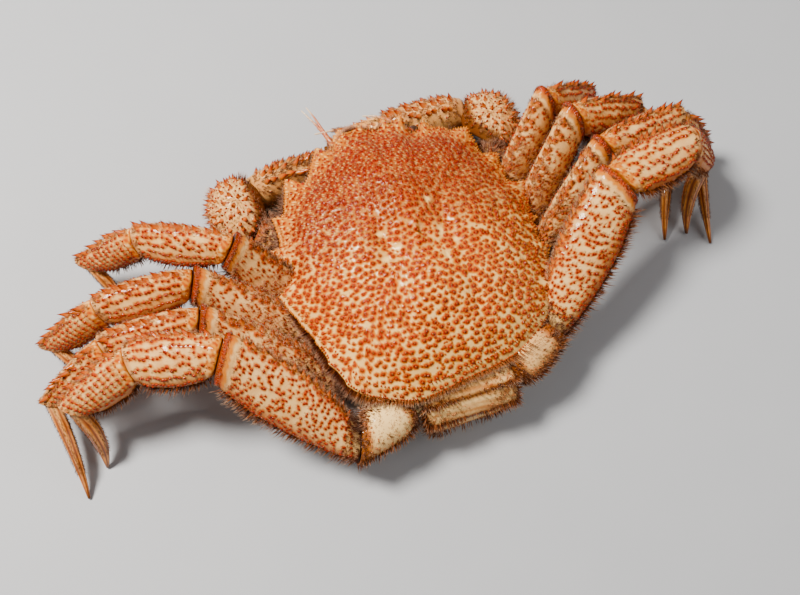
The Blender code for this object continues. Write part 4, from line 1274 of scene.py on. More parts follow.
def ridged_marks(t, turn, near):
    """A narrow golden neck with red and pale flecks, then cream with red spots and warm edges."""
    wave = t + 0.022 * np.sin(turn * 3 + 1) + 0.014 * np.sin(turn * 7)
    neck = step(0.135, 0.09, wave)
    end = step(0.93, 0.98, t)
    patchy, halo = blotches(t, turn, 34), step(1.9, 1.1, near)
    fleck = np.sin(turn * 11 + 3 * np.sin(t * 45)) * np.sin(t * 120 + 2 * np.sin(turn * 5))
    lower = step(-0.3, -0.95, np.cos(turn))
    return {
        "spot": 0.92 * step(1.3, 0.8, near) * (1 - neck) + 0.25 * end
        + 0.75 * neck * step(0.2, 0.7, fleck),
        "warm": 0.06 + 0.26 * np.cos(turn) ** 2 + 0.3 * patchy * halo + 0.3 * end
        + neck * (0.3 * patchy + 0.6 * step(0.05, 0.0, t)) + 0.3 * lower + 0.2 * halo,
        "gold": neck * (0.7 + 0.3 * patchy) + 0.4 * end + 0.5 * halo * (1 - neck),
        "pale": 0.65 * (1 - halo) * (1 - 0.7 * patchy) * (1 - neck) * (1 - lower)
        + 0.7 * neck * step(0.0, -0.5, fleck) * step(0.01, 0.05, t),
        # Painted shade at the near end, where the segment meets the one before; on the lower side
        # it also darkens round the tubercles.
        "dark": 0.5 * step(0.03, 0.0, t) + 0.2 * lower * halo,
        "tip": step(0.9, 0.4, near),
    }


def spike_marks(t, turn, near):
    """Amber with red-brown grooves, pale ridges between them and a dark tip."""
    groove = (0.5 + 0.5 * np.cos(turn * 6 + 0.3 * np.sin(t * 9))) ** 6
    return {
        "warm": 0.8 * step(0.22, 0.0, t),
        "pale": 0.45 * (0.5 - 0.5 * np.cos(turn * 6)) ** 3 * step(1.0, 0.6, t),
        "dark": np.maximum(0.9 * step(0.85, 1.0, t), 0.75 * groove * step(0.02, 0.2, t)),
        "spot": 0.85 * groove ** 0.5,
    }


def oval_marks(t, turn, near):
    """A smooth ivory middle with golden ends."""
    end = np.maximum(step(0.25, 0.05, t), step(0.72, 0.92, t))
    end = np.maximum(end, 0.7 * step(0.2, -0.5, np.cos(turn - 0.5)))
    return {
        "pale": 0.95 * (1 - end) * (0.75 + 0.25 * blotches(t, turn, 30)),
        "gold": 0.35 * end,
        "warm": 0.05 + 0.5 * end,
        "spot": 0.7 * step(1.1, 0.7, near),
        # Painted shade at both ends, where the segment meets its neighbours.
        "dark": 0.55 * np.maximum(step(0.12, 0, t), step(0.92, 1, t)),
    }


def spike_grooves(t, turn):
    """Lengthwise grooves of the last segment, fading to its tip."""
    return -0.32 * (0.5 + 0.5 * np.cos(turn * 6)) ** 3 * step(0.0, 0.12, t) * step(1.0, 0.7, t)


def bumps(t, places, width):
    """Rounded rings round a rod, from 0 to 1."""
    return sum(np.exp(-((t - place) / width) ** 2) for place in places)


def band_ridge(t, turn):
    """A groove, the smooth collar and the raised edge at the end of a long segment."""
    groove = -0.25 * bumps(t, (0.90,), 0.007)
    return groove + 0.1 * step(0.905, 0.925, t) + 0.15 * bumps(t, (0.982,), 0.008)


def knuckles(t, turn):
    """Two smooth knobs at the near end, on which a segment swings."""
    swell = 0.0
    for degrees in (55, 125):
        away = (np.asarray(turn) - radians(degrees)) / 0.33
        swell = swell + 0.75 * np.exp(-away ** 2 - ((t - 0.06) / 0.05) ** 2)
    return swell


def ring_of_teeth(dress, t, count, length, width, **marks):
    """Small teeth all round a rod, leaning to its far end."""
    turn = 2 * pi * (np.arange(count) + chance.uniform(0, 0.3, count)) / count
    dress.spines((np.full(count, t), turn), length, width, 1.3, 5, **marks)


# %% The five segments of a leg
RIDGES = (24, 46, 68, 92, 116, 138)


def dress_long(dress):
    """The second segment: spines above, tubercles on both faces, combs below, hair at its end."""
    hairy = dress.rod.hairy
    size, *gaps = (0.42, 3.1, 1.0) if hairy else (0.52, 2.35, 1.2)
    face = dress.patch(size, 0.06, 0.895, 30, 158, *gaps)
    back = dress.patch(0.5, 0.1, 0.88, 202, 336, 3.0, 2.0)
    edge = row(1.05, 0.08, 0.91, 15, 2, 5)
    second = row(0.85, 0.1, 0.90, 17, 20, 4)
    under = row(0.6, 0.12, 0.9, 13, 180, 6)
    every = all_places(face, back, edge, second, under)
    dress.skin(SKIN_GAP, every, long_marks, form=band_ridge)
    dress.tubercles(face, 1.0, spot=(0.8, 1.0))
    dress.tubercles(back, 1.0, spot=(0.8, 1.0))
    dress.tubercles(second, 1.2, gold=0.6, spot=(0.1, 0.9))
    dress.spines(edge, 2.6, 0.95, warm=0.3, gold=0.6, spot=(0.0, 0.85))
    dress.spines(under, 1.8, 0.6, warm=0.4, spot=(0.3, 0.9))
    ring_of_teeth(dress, 0.976, 44, 1.3, 0.4, spot=(0.9, 1.0))
    dress.fringe(0.04, 0.90, 4, 10, 0.2, 2.2, 0.35, 5, 0.5, 0.07)
    dress.comb(0.0, 0.93, 174, 4.5)
    dress.fringe(0.02, 0.92, 178, 11, 0.2, 1.7, 0.04, 4, 0.5)
    dress.fringe(0.02, 0.92, 192, 12, 0.25, 1.8, 0.10, 4, 0.5)
    dress.comb(0.05, 0.9, 206, 3.4)
    dress.fringe(0.955, 0.975, 90, 110, 0.014, 1.3, 0.12)
    dress.fringe(0.875, 0.9, 90, 110, 0.035, 1.2, 0.3)
    dress.fringe(0.0, 0.13, 5, 40, 0.06, 3.6, 0.05, 4, -0.5, 0.09)
    dress.bristles_before(face, 0.6, 1.2, 0.42, 4, 1.1, 0.06)
    dress.bristles_before(back, 0.8, 1.3, 0.4, 4, 1.1)
    gap, length = (0.09, 3.4) if hairy else (0.2, 2.0)
    for degrees in (0, 55, 110, 165, 235, 300):
        dress.fringe(0.0, 0.12, degrees, 24, gap, length, 0.05, 4, 0.7, 0.09)
    if hairy:
        for degrees in (15, 40, 65, 90):
            dress.fringe(0.08, 0.66, degrees, 14, 0.36, 2.3, 0.75, 2, 1.2, 0.10)
            dress.fringe(0.05, 0.4, degrees, 14, 0.45, 3.0, 0.2, 2, 0.8, 0.12)


def dress_ridged(dress):
    """The third segment: six lengthwise ridges of tubercles."""
    face = join_places(*[(row_places(0.12, 0.94, 17, degrees), 0.62) for degrees in RIDGES])
    neck = dress.patch(0.34, 0.02, 0.15, -10, 190, 1.1, 1.3)
    back = dress.patch(0.5, 0.17, 0.93, 205, 335, 2.8, 2.0)
    edge = row(1.05, 0.12, 0.96, 10, 2, 5)
    under = row(0.6, 0.16, 0.92, 10, 180, 8)
    every = all_places(face, back, edge, under)
    dress.skin(SKIN_GAP, every, ridged_marks, form=knuckles)
    dress.tubercles(face, 1.15, spot=(0.75, 1.0))
    dress.tubercles(neck, 1.0, gold=0.8, spot=(0.0, 0.7))
    dress.tubercles(back, 1.0, spot=(0.8, 1.0))
    dress.spines(edge, 2.9, 1.05, warm=0.6, gold=0.5, spot=(0.25, 0.9))
    dress.spines(under, 1.6, 0.6, spot=(0.3, 0.9))
    dress.fringe(0.08, 0.97, 6, 12, 0.22, 1.9, 0.4, 4, 0.5, 0.065)
    dress.comb(0.05, 0.98, 176, 3.9)
    dress.fringe(0.08, 0.97, 182, 12, 0.2, 1.5, 0.04, 4, 0.5)
    dress.fringe(0.93, 0.98, 90, 110, 0.035, 1.3, 0.3)
    dress.bristles_before(face, 0.9, 1.2, 0.55, 5, 1.1)
    dress.bristles_before(back, 0.8, 1.2, 0.4, 4, 1.1)


def dress_crossed(dress):
    """The fourth segment: short crosswise ridges of tubercles."""
    rungs = []
    for t in np.linspace(0.11, 0.9, 10):
        turn = np.radians(np.linspace(44, 128, 7)) + chance.normal(0, 0.03, 7)
        rungs.append(((t + 0.016 * np.sin(turn * 3), turn), 0.58))
    face = join_places(*rungs, (row_places(0.12, 0.9, 12, 24), 0.62))
    back = dress.patch(0.5, 0.12, 0.88, 205, 335, 2.8, 1.8)
    edge = row(1.05, 0.08, 0.93, 7, 6, 5)
    under = row(0.55, 0.2, 0.9, 7, 180, 8)
    every = all_places(face, back, edge, under)
    dress.skin(SKIN_GAP, every, ridged_marks, form=knuckles)
    dress.tubercles(face, 1.0, spot=(0.8, 1.0))
    dress.tubercles(back, 1.0, spot=(0.8, 1.0))
    dress.spines(edge, 3.4, 1.1, 0.75, warm=0.6, gold=0.5, spot=(0.2, 0.85))
    dress.spines(under, 1.4, 0.55, spot=(0.3, 0.9))
    ring_of_teeth(dress, 0.965, 16, 0.9, 0.42, spot=(0.3, 0.85))
    dress.fringe(0.05, 0.97, 8, 13, 0.22, 1.8, 0.4, 4, 0.5, 0.065)
    dress.comb(0.02, 0.98, 176, 3.4)
    dress.fringe(0.03, 0.97, 182, 13, 0.2, 1.4, 0.04, 4, 0.5)
    dress.bristles_before(face, 0.9, 1.35, 0.3, 5, 1.1)
    dress.bristles_before(back, 0.8, 1.1, 0.4, 4, 1.1)


def dress_spike(dress):
    """The last segment: a smooth grooved spike with a line of bristles in each groove."""
    dress.skin(0.45, NO_SPOTS, spike_marks, FAR_TIP, form=spike_grooves)
    for degrees in (30, 90, 150, 210, 270, 330):
        dress.fringe(0.0, 0.72, degrees, 4, 0.42, 1.15, 0.3, 3, 0.9, 0.06)


def dress_oval(dress):
    """The first segment: smooth in its middle, granular at its ends, fringed all round."""
    rod = dress.rod
    low = join_places((patch_places(rod, 0.05, 0.95, 118, 240, 1.7, 1.5), 0.4),
                      (patch_places(rod, 0.72, 0.97, 20, 118, 1.5, 1.5), 0.4),
                      (patch_places(rod, 0.02, 0.2, 20, 118, 1.5, 1.5), 0.36))
    tan = 0.35 * step(0, 5, float(rod.middle(np.array([0.5]))[0, 0]))

    def marks_of(t, turn, near):
        """Those of the right side are a little more tan than those of the left."""
        values = oval_marks(t, turn, near)
        return {**values, "pale": values["pale"] * (1 - tan), "warm": values["warm"] + tan}

    dress.skin(SKIN_GAP, low, marks_of)
    dress.tubercles(low, 1.2, gold=0.7, spot=(0.2, 0.8))
    dress.fringe(0.84, 0.99, 90, 120, 0.03, 1.9, 0.2, lean=0.6)
    dress.fringe(0.0, 0.12, 90, 120, 0.02, 2.6, 0.04, lean=0.2)
    for degrees in (-20, 20, 150, 185, 220):
        dress.comb(0.0, 0.98, degrees, 3.6)
    dress.fringe(0.04, 0.96, 165, 30, 0.16, 1.7, 0.25, 4, 0.5)
    dress.fringe(0.04, 0.96, 0, 26, 0.16, 2.0, 0.25, 4, 0.4)
    dress.fringe(0.12, 0.9, 85, 40, 0.09, 0.8, 0.8, 3, 1.1, 0.06)


LEG_DRESS = {
    "coxa": (dress_oval, ivory_finish, "pale_shell"),
    "merus": (dress_long, limb_finish, "limb_shell"),
    "carpus": (dress_ridged, limb_finish, "limb_shell"),
    "propodus": (dress_crossed, limb_finish, "limb_shell"),
    "dactyl": (dress_spike, amber_look, "dark_claw"),
}


def make_limb(limb, side, rods, table):
    """Dress the segments of a limb, which share one coat."""
    coat = Piece()
    for index, (segment, (dress_segment, finish, slot)) in enumerate(table.items()):
        dress = Dress(rods[segment], coat, (index, len(table)))
        dress_segment(dress)
        node = limb + "_" + segment + "_" + side
        dress.piece.build(node + "_shell", finish, slot, node)
    coat.build("bristles_" + limb + "_" + side, bristle_look, "bristle")


for side in SIDES:
    for number in LEG_ROOT:
        make_limb("leg_" + str(number), side, leg_rods(side, number), LEG_DRESS)
leg_total = sum(count for name, count in totals.items() if "leg" in name)
print("walking legs:", leg_total, "triangles")

# %% [markdown]
# ## Claws
# The claws are folded under the front of the shell. Each has a wrist piece like a spiny ball, a
# deep palm whose end is the fixed finger, and a movable finger above it. The same rod makes them
# all: the ball is a rod whose breadth follows a half circle, held flat where its neighbours
# touch it, and the palm is a rod with uneven edges.
# %% Shapes of the claw segments
CLAW_JOINTS = {
    "left": ((22, 12, 8), (31, 15, 9.5), (50.5, 28.5, 16.5), (48.5, 43.5, 17), (-10, 48, 7.5)),
    "right": ((22, 12, 8), (31, 17, 9.5), (49, 33, 16.5), (40.5, 51, 16.5), (-15, 57.5, 7)),
}
CARPUS_CENTRE = {"left": (54, 38, 17), "right": (47.5, 43, 17)}
CARPUS_RADII = (11.5, 12.5, 11)
CLAW_LEAN = 20
CLAW_COXA_PROFILE = ((0, 5, 5), (0.5, 6, 5.6), (1, 6, 5.4))
CLAW_MERUS_PROFILE = ((0, 5.6, 5.2), (0.4, 7.6, 6.4), (0.8, 8.0, 6.8), (1, 6.6, 5.8))
# Along the claw from the wrist, then its lower edge, upper edge and half thickness
PALM_PROFILE = (
    (0, -6, 6, 5.5), (5, -10, 10, 6.6), (14, -11.5, 11.5, 7.3), (25, -11.5, 11, 7.1),
    (31.5, -10.8, 10, 6.6), (32.5, -10.4, -0.6, 5.8), (42, -8.8, -0.9, 4.2), (50, -6, -1, 2.8),
    (56, -2.6, -1.1, 1),
)
FINGER_PROFILE = (
    (33, 0, 9.2, 5.2), (40, -0.1, 8.4, 4.3), (47, -0.2, 6.4, 3.2), (54.5, -0.4, 1.6, 1.1),
)


def edged_rod(start, lie, profile, ease):
    """A rod whose lower and upper edges are given along it."""
    over = unit(UP - lie * lie[2])
    table = np.array(profile, float)
    length = table[-1, 0] - table[0, 0]
    stops = []
    for at in np.linspace(table[0, 0], table[-1, 0], 90):
        lower, upper, thick = [np.interp(at, table[:, 0], column) for column in table[:, 1:].T]
        middle = start + lie * at + over * 0.5 * (lower + upper)
        stops.append(((at - table[0, 0]) / length, *middle, 0.5 * (upper - lower), thick))
    rod = Rod(stops, over, lie, ease=ease)
    rod.flip = np.cross(lie, over)[1] < 0
    return rod


BALL_TUCK = 2.2


def ball_rod(centre, radii, holds):
    """A ball that is held flat just inside its two neighbours."""
    stops = []
    for t in np.linspace(0, 1, 49):
        wide = max(sin(pi * t), 0.04)
        middle = centre - UP * radii[2] * cos(pi * t)
        stops.append((t, *middle, radii[0] * wide, radii[1] * wide))
    rod = Rod(stops, (1.0, 0.0, 0.0), UP, ease=0.004)
    rod.joints = holds
    rod.holds = [(origin + way * BALL_TUCK, way) for origin, way in holds]
    return rod


def claw_rods(side):
    flip = np.array((SIDES[side], 1, 1))
    root, hip, elbow, wrist, tip = [np.array(p, float) * flip for p in CLAW_JOINTS[side]]
    hip_way, elbow_way = joint_way(root, hip, elbow), unit(elbow - hip)
    lie = unit(tip - wrist)
    holds = ((elbow + elbow_way * GAP / 2, -elbow_way), (wrist - lie * GAP / 2, lie))
    start = wrist + lie * GAP / 2
    return {
        "coxa": straight_rod(root, hip, CLAW_COXA_PROFILE, CLAW_LEAN, None, hip_way),
        "merus": straight_rod(hip, elbow, CLAW_MERUS_PROFILE, CLAW_LEAN, hip_way, elbow_way),
        "carpus": ball_rod(np.array(CARPUS_CENTRE[side], float) * flip, CARPUS_RADII, holds),
        "palm": edged_rod(start, lie, PALM_PROFILE, 0.012),
        "finger": edged_rod(start, lie, FINGER_PROFILE, 0.02),
    }


# %% Marks and places on the claws
def claw_marks(t, turn, near):
    """Cream that warms towards the upper edge, pale round each spine."""
    return {
        "spot": 0.85 * step(1.15, 0.7, near),
        "warm": 0.12 + 0.30 * np.cos(turn) ** 2,
        "pale": 0.25 + 0.5 * step(2.0, 1.1, near),
        "gold": 0.3 * step(1.6, 1.0, near),
        # Painted shade at the near end, where the segment meets the one before.
        "dark": 0.3 * step(0.05, 0.0, t),
    }


def claw_merus_marks(t, turn, near):
    """The far end is a warmer knuckle with a faint painted highlight on top."""
    marks = claw_marks(t, turn, near)
    knuckle = step(0.86, 0.93, t)
    # A pale patch on the upper side of the knuckle: painted highlight.
    painted_highlight = 0.4 * knuckle * step(0.97, 0.9, t) * step(0.5, 0.95, np.sin(turn))
    marks["pale"] = np.maximum(marks["pale"] * (1 - knuckle), painted_highlight)
    marks["warm"] = 0.3 * marks["warm"] + 0.3 * knuckle + 0.3 * step(0.92, 0.99, t)
    return marks


def palm_marks(t, turn, near):
    """The palm's finger darkens to a horny tip."""
    marks = claw_marks(t, turn, near)
    tip = step(0.72, 0.95, t)
    marks["dark"] = 0.85 * tip
    marks["gold"] = 0.5 * step(0.56, 0.72, t)
    marks["pale"] = marks["pale"] * (1 - tip)
    return marks


def finger_marks(t, turn, near):
    """Orange at the hinge, darker to the tip."""
    return {
        "warm": 0.85 * step(0.45, 0.05, t),
        "spot": 0.6 * step(1.15, 0.7, near) * step(0.6, 0.3, t),
        "dark": 0.9 * step(0.5, 0.95, t),
    }


GOLDEN_SHARE = 3 - 5 ** 0.5
BALL_COVER = 1.86


def ball_places(rod, count, clear):
    """Places in an even spiral from the top of a ball, kept clear of the faces where it is held
    flat. A cover of 2 would reach its foot."""
    index = np.arange(count) + 0.5
    t = 1 - np.arccos(1 - BALL_COVER * index / count) / pi
    turn = (index * pi * GOLDEN_SHARE + chance.normal(0, 0.1, count)) % (2 * pi)
    place = rod.point(t, turn)
    keep = np.ones(count, bool)
    for origin, way in rod.joints:
        keep &= dot(origin - place, way) > clear
    return t[keep], turn[keep]


def claw_cones(dress, spots, length, width, lean=0.5):
    """Conical spines with cream feet and orange tips."""
    dress.spines(spots, length, width, lean, 7, warm=0.4, gold=0.3, spot=(0.0, 0.95))


def bite_teeth(dress, degrees, first, last, count):
    """Blunt pale teeth along the edge that bites, smaller to the tip."""
    t = first + (last - first) * (np.arange(count) + 0.5) / count
    place, out, along = dress.rod.frame(t, radians(degrees))
    size = 1.0 - 0.5 * np.arange(count) / count
    cones(dress.piece, place, out, along, 0.9 * size, 1.05 * size, TUBERCLE_FORM, 8, 0, pale=0.9)


# %% The two claws
PALM_ROWS = (
    # first, last, count, spread, size, degrees round the palm
    (0.06, 0.56, 9, 3, 0.95, (-14, 14)), (0.06, 0.66, 11, 3, 0.75, (38, 62, 86)),
    (0.08, 0.8, 14, 3, 0.6, (108, 130, 150)), (0.08, 0.8, 10, 6, 0.5, (-45, -80, -115, -145)),
)


def dress_claw_merus(dress):
    """The arm: low spines, and hair that thickens to the wrist."""
    spots = dress.patch(0.44, 0.12, 0.98, -170, 190, 1.6, 1.4)
    dress.skin(SKIN_GAP, spots, claw_merus_marks)
    dress.tubercles(spots, 1.5, pale=0.5, spot=(0.1, 1.0))
    claw_cones(dress, row_places(0.2, 0.95, 9, 8), 2.2, 0.8)
    dress.bristles_before(spots, 0.7, 1.5, 0.3, 4, 0.9)
    dress.fringe(0.1, 0.74, 0, 60, 0.1, 2.1, 0.35)
    dress.fringe(0.1, 0.95, 180, 40, 0.08, 3.6, 0.08)
    dress.fringe(0.0, 0.95, 0, 60, 0.06, 3.4, 0.08, lean=0.3)
    dress.fringe(0.7, 1.0, 90, 110, 0.03, 3.6, 0.06, lean=0.6)


def dress_ball(dress):
    """The wrist: a spiny ball with a thick dark coat round its joints and at its outer side."""
    rod = dress.rod
    big = ball_places(rod, 130, 1.6)
    small = ball_places(rod, 300, 0.4)
    spots = join_places((big, 1.0), (small, 0.5))

    def marks_of(t, turn, near):
        """Painted shade: the ball darkens to brown where it meets its neighbours."""
        values = claw_marks(t, turn, near)
        place = rod.point(t, turn)
        for origin, way in rod.joints:
            flat = step(3.4, 1.0, dot(origin - place, way))
            values["dark"] = np.maximum(values["dark"], 0.8 * flat)
            values["pale"] = values["pale"] * (1 - flat)
        return values

    dress.skin(0.5, spots, marks_of, FAR_ROUND, FAR_ROUND)
    claw_cones(dress, big, 2.5, 0.85, -0.3)
    dress.tubercles(join_places((small, 0.5)), 1.3, spot=(0.5, 1.0))
    t, turn = ball_places(rod, 900, -1.0)
    meets = np.max([step(4.5, 1.6, dot(origin - rod.point(t, turn), way))
                    for origin, way in rod.joints], axis=0)
    dress.bristles(t, turn, 1.6 + 2.0 * meets, 0.42 - 0.36 * meets, 3, thick=0.09)
    outer = rod.point(t, turn) - rod.middle(t)
    outer = np.abs(outer[:, 0]) * np.sign(outer[:, 0] * rod.middle(t)[:, 0]) > 6.5
    dress.bristles(t[outer], turn[outer], 3.4, 0.6, 2, 0.2, 0.08)


def dress_palm(dress):
    """The palm and the fixed finger: rows of spines that grow smaller from the upper edge."""
    rows = [(row_places(first, last, count, degrees, spread), size)
            for first, last, count, spread, size, turns in PALM_ROWS for degrees in turns]
    spots = join_places(*rows)
    dress.skin(0.5, spots, palm_marks, FAR_TIP)
    claw_cones(dress, join_places(*rows[:2]), 3.1, 1.15)
    claw_cones(dress, join_places(*rows[2:5]), 2.0, 0.85)
    dress.tubercles(join_places(*rows[5:]), 1.5, spot=(0.4, 1.0))
    bite_teeth(dress, 0, 0.62, 0.94, 8)
    dress.fringe(0.03, 0.58, 0, 30, 0.10, 1.9, 0.4)
    for (t, turn), size in rows[2:8]:
        dress.bristles(t + 0.02, turn, 1.5, 0.45, 5)
    dress.fringe(0.1, 0.95, 180, 25, 0.2, 1.6, 0.3)


def dress_finger(dress):
    """The movable finger."""
    spots = join_places((row_places(0.06, 0.6, 6, 0, 4), 0.7), (row_places(0.1, 0.5, 5, 50), 0.55))
    dress.skin(0.45, spots, finger_marks, FAR_TIP)
    claw_cones(dress, spots, 1.5, 0.7)
    bite_teeth(dress, 180, 0.1, 0.92, 8)
    dress.fringe(0.02, 0.5, 0, 50, 0.2, 1.3, 0.35)


CLAW_DRESS = {
    "coxa": (dress_oval, ivory_finish, "pale_shell"),
    "merus": (dress_claw_merus, limb_finish, "limb_shell"),
    "carpus": (dress_ball, limb_finish, "limb_shell"),
    "palm": (dress_palm, limb_finish, "limb_shell"),
    "finger": (dress_finger, amber_look, "dark_claw"),
}


for side in SIDES:
    make_limb("claw", side, claw_rods(side), CLAW_DRESS)
claw_total = sum(count for name, count in totals.items() if "claw" in name)
print("claws:", claw_total, "triangles")

# %% [markdown]
# ## Head
# Under the front teeth sit two short eye stalks with dark corneas, two feelers with pale tips, a
# pair of shorter folded feelers, and the plates that close the mouth. They are small, but a
# viewer looks there first, so they get joints, lids and bristles of their own.
# %% Thin curved rods
EYE_BASE = (11.5, 42.5, 24.8)
EYE_TIP = (18.8, 46.8, 25.8)
ANTENNA_PATH = {
    "left": (
        (9.5, 43, 22.8), (13, 48.5, 24.8), (15, 54, 25.4), (17.5, 60, 25.6), (20.6, 66.5, 25.6),
    ),
    "right": (
        (9.5, 43, 21.5), (12.5, 48.5, 22.9), (10.5, 53.5, 23.4), (5.5, 57, 23.2), (1, 58.5, 22.8),
    ),
}
ANTENNA_RADII = (2.3, 1.7, 0.8, 0.42, 0.18)
SECOND_WHIP = ((-14.6, 53.6, 25.4), (-15.6, 57, 25.8), (-16.6, 61.6, 25.8), (-18.4, 67, 25.6))
ANTENNULE_PATHS = (
    ((2, 42, 23.5), (-1, 49.5, 24.8), (-5, 53.8, 25), (-11, 54.9, 25.6), (-19.1, 55.3, 26)),
    ((-2, 42, 22), (2.5, 46.5, 22.3), (4.6, 49.5, 21), (4, 51.5, 19.5)),
)
ANTENNULE_RADII = (1.9, 1.2, 0.8, 0.5, 0.25)


def thin_rod(points, radii, side=1, ease=0.06):
    """A round rod through some points."""
    points = np.array(points, float) * (side, 1, 1)
    gaps = np.linalg.norm(np.diff(points, axis=0), axis=1)
    at = np.concatenate(([0], np.cumsum(gaps))) / gaps.sum()
    stops = np.column_stack((at, points, radii, radii))
    rod = Rod(stops, UP, ease=ease)
    rod.length = float(gaps.sum())
    return rod


def joints_at(places, deep):
    """Ring-shaped grooves of a jointed rod."""
    return lambda t, turn: -deep * bumps(t, places, 0.012)


def feeler_marks(t, turn, near):
    return {"tip": step(0.35, 1.0, t)}


def thin_skin(dress, gap, form=None, marks=feeler_marks):
    dress.skin(gap, NO_SPOTS, marks, FAR_TIP, FAR_TIP_BACK, form=form)


HEAD_CELLS = 8


# %% Eyes
EYE_GRANULES = 46


def lid_marks(t, turn, near):
    return {"warm": 0.75, "spot": 0.55 * step(0.2, 0.6, t), "pale": 0.4 * step(0.3, 0.0, t)}


def make_eye(side, coat):
    """A granular orange stalk that holds a dark, wet, slightly long cornea."""
    base, tip = [np.array(p) * (SIDES[side], 1, 1) for p in (EYE_BASE, EYE_TIP)]
    radii = (2.0, 2.05, 2.55, 2.7, 2.2)
    points = [base + (tip - base) * share for share in (0.0, 0.3, 0.5, 0.62, 0.72)]
    stalk = Dress(thin_rod(points, radii), coat, (0, HEAD_CELLS))
    thin_skin(stalk, 0.3, joints_at((0.35,), 0.25), lid_marks)
    t = np.linspace(0.15, 0.95, EYE_GRANULES)
    stalk.tubercles((t, np.arange(EYE_GRANULES) * 2.4, np.full(EYE_GRANULES, 0.26)), 1.3,
                    spot=(0.6, 1.0))
    stalk.piece.build("eye_stalk_" + side, limb_finish, "limb_shell")
    shares = np.linspace(0.6, 1.0, 13)
    radii = 2.15 * np.sqrt(np.clip(1 - ((shares - 0.68) / 0.33) ** 2, 0.01, 1))
    ball = Dress(thin_rod([base + (tip - base) * share for share in shares], radii, ease=0.02))
    thin_skin(ball, 0.16)
    ball.piece.build("eye_cornea_" + side, eye_look, "eye", "eye_" + side)
    stalk.fringe(0.2, 0.95, 0, 90, 0.07, 1.3, 0.15, 3, 0.5, 0.06)


# %% Feelers
ANTENNA_JOINTS = (0.12, 0.27, 0.42, 0.5, 0.58, 0.66, 0.74, 0.82, 0.9)
ANTENNULE_JOINTS = (0.2, 0.45, 0.6, 0.7, 0.8, 0.9)


def make_antenna(side, coat, cell):
    """A jointed feeler with a fringed foot. The left one has a second whip beside it."""
    dress = Dress(thin_rod(ANTENNA_PATH[side], ANTENNA_RADII, SIDES[side]), coat, cell)
    thin_skin(dress, 0.22, joints_at(ANTENNA_JOINTS, 0.12))
    if side == "left":
        whip = thin_rod(SECOND_WHIP, (0.7, 0.5, 0.36, 0.2))
        thin_skin(Dress(whip, piece=dress.piece), 0.2)
    dress.piece.build("antenna_" + side + "_shell", feeler_look, "feeler", "antenna_" + side)
    for degrees in (0, 90, 180, 270):
        dress.fringe(0.02, 0.4, degrees, 25, 0.25, 1.2, 0.25, 2, 0.9, 0.06)
    dress.fringe(0.5, 0.9, 0, 120, 0.5, 0.8, 0.8, 2, 1.1, 0.045)


def make_antennules(coat):
    """The two short feelers in the middle, as one piece."""
    piece = Piece()
    for index, path in enumerate(ANTENNULE_PATHS):
        rod = thin_rod(path, ANTENNULE_RADII[:len(path)])
        dress = Dress(rod, coat, (3 + index, HEAD_CELLS), piece)
        thin_skin(dress, 0.22, joints_at(ANTENNULE_JOINTS, 0.1))
        for degrees in (0, 120, 240):
            dress.fringe(0.05, 0.75, degrees, 25, 0.16, 1.2, 0.4, 3, 0.9, 0.05)
    piece.build("antennules_shell", feeler_look, "feeler", "antennules")


# %% Mouth plates
MOUTH_TOP = (5.6, 43.0, 17.0)
MOUTH_FOOT = (5.6, 31.6, 2.6)
MOUTH_RINGS = ((0, 3.6, 1.6), (0.3, 4.9, 2.1), (0.62, 4.9, 2.1), (0.7, 4.5, 1.9), (1, 3.2, 1.5))


def mouth_marks(t, turn, near):
    joint = bumps(t, (0.66,), 0.03)
    return {
        "warm": 0.18 + 0.25 * step(0.3, 0.0, t) + 0.3 * joint,
        "spot": 0.8 * step(1.2, 0.7, near),
        "pale": 0.5 * step(2.0, 1.1, near),
        # Painted shade in the joint groove.
        "dark": 0.5 * joint,
    }


def make_maxilliped(side, coat, cell):
    """A flat jointed plate over the mouth, with a short palp and a fringe at its inner edge."""
    sign = SIDES[side]
    top, foot = [np.array(p) * (sign, 1, 1) for p in (MOUTH_TOP, MOUTH_FOOT)]
    stops = [(share, *(top + (foot - top) * share), wide, deep)
             for share, wide, deep in MOUTH_RINGS]
    dress = Dress(Rod(stops, (float(sign), 0.0, 0.0), unit(foot - top)), coat, cell)
    spots = join_places(*[(patch_places(dress.rod, 0.08, 0.92, *face, 2.0, 1.6), 0.36)
                          for face in ((20, 160), (200, 340))])
    dress.skin(0.32, spots, mouth_marks, FAR_TIP, FAR_TIP_BACK, 0.12, joints_at((0.66,), 0.4))
    dress.tubercles(spots, spot=(0.5, 1.0))
    knee = foot + (-sign * 1.2, 4.2, 1.6)
    points = (foot + (0, 1.2, 0), knee, knee + (-sign * 2.4, 0.6, 4.0))
    palp = Dress(thin_rod(points, (1.5, 1.3, 0.6)), coat, cell, dress.piece)
    thin_skin(palp, 0.25, joints_at((0.5,), 0.2), lid_marks)
    dress.piece.build("mouth_plate_" + side, limb_finish, "limb_shell", "maxilliped_" + side)
    dress.fringe(0.03, 0.98, 180, 14, 0.10, 2.0, 0.35, 4, 0.6, 0.06)
    dress.fringe(0.03, 0.98, 0, 14, 0.16, 1.4, 0.35, 4, 0.7, 0.06)
    palp.fringe(0.3, 1.0, 0, 120, 0.06, 1.6, 0.5, 4, 0.9, 0.05)


FRONT_HAIRS = 230


def front_hairs(coat):
    """Dark hairs that stand up between the front teeth."""
    count = FRONT_HAIRS
    edge = np.where(chance.uniform(0, 1, count) < 0.5, chance.normal(0, 0.24, count),
                    chance.normal(-0.14, 0.05, count))
    far = 0.972 * reach(edge)
    places = back_points(far * np.sin(edge), far * np.cos(edge)) - (0, 0, 0.5)
    ways = unit(np.stack((0.5 * np.sin(edge), np.full(count, 0.75), np.full(count, 0.7)), axis=-1))
    lays = np.tile(UP, (count, 1))
    tufts(coat, places, ways, lays, 3.2, 0.5 + back_map(places) / 2, 3, 0.3, 0.1, 0.09, 0.12)


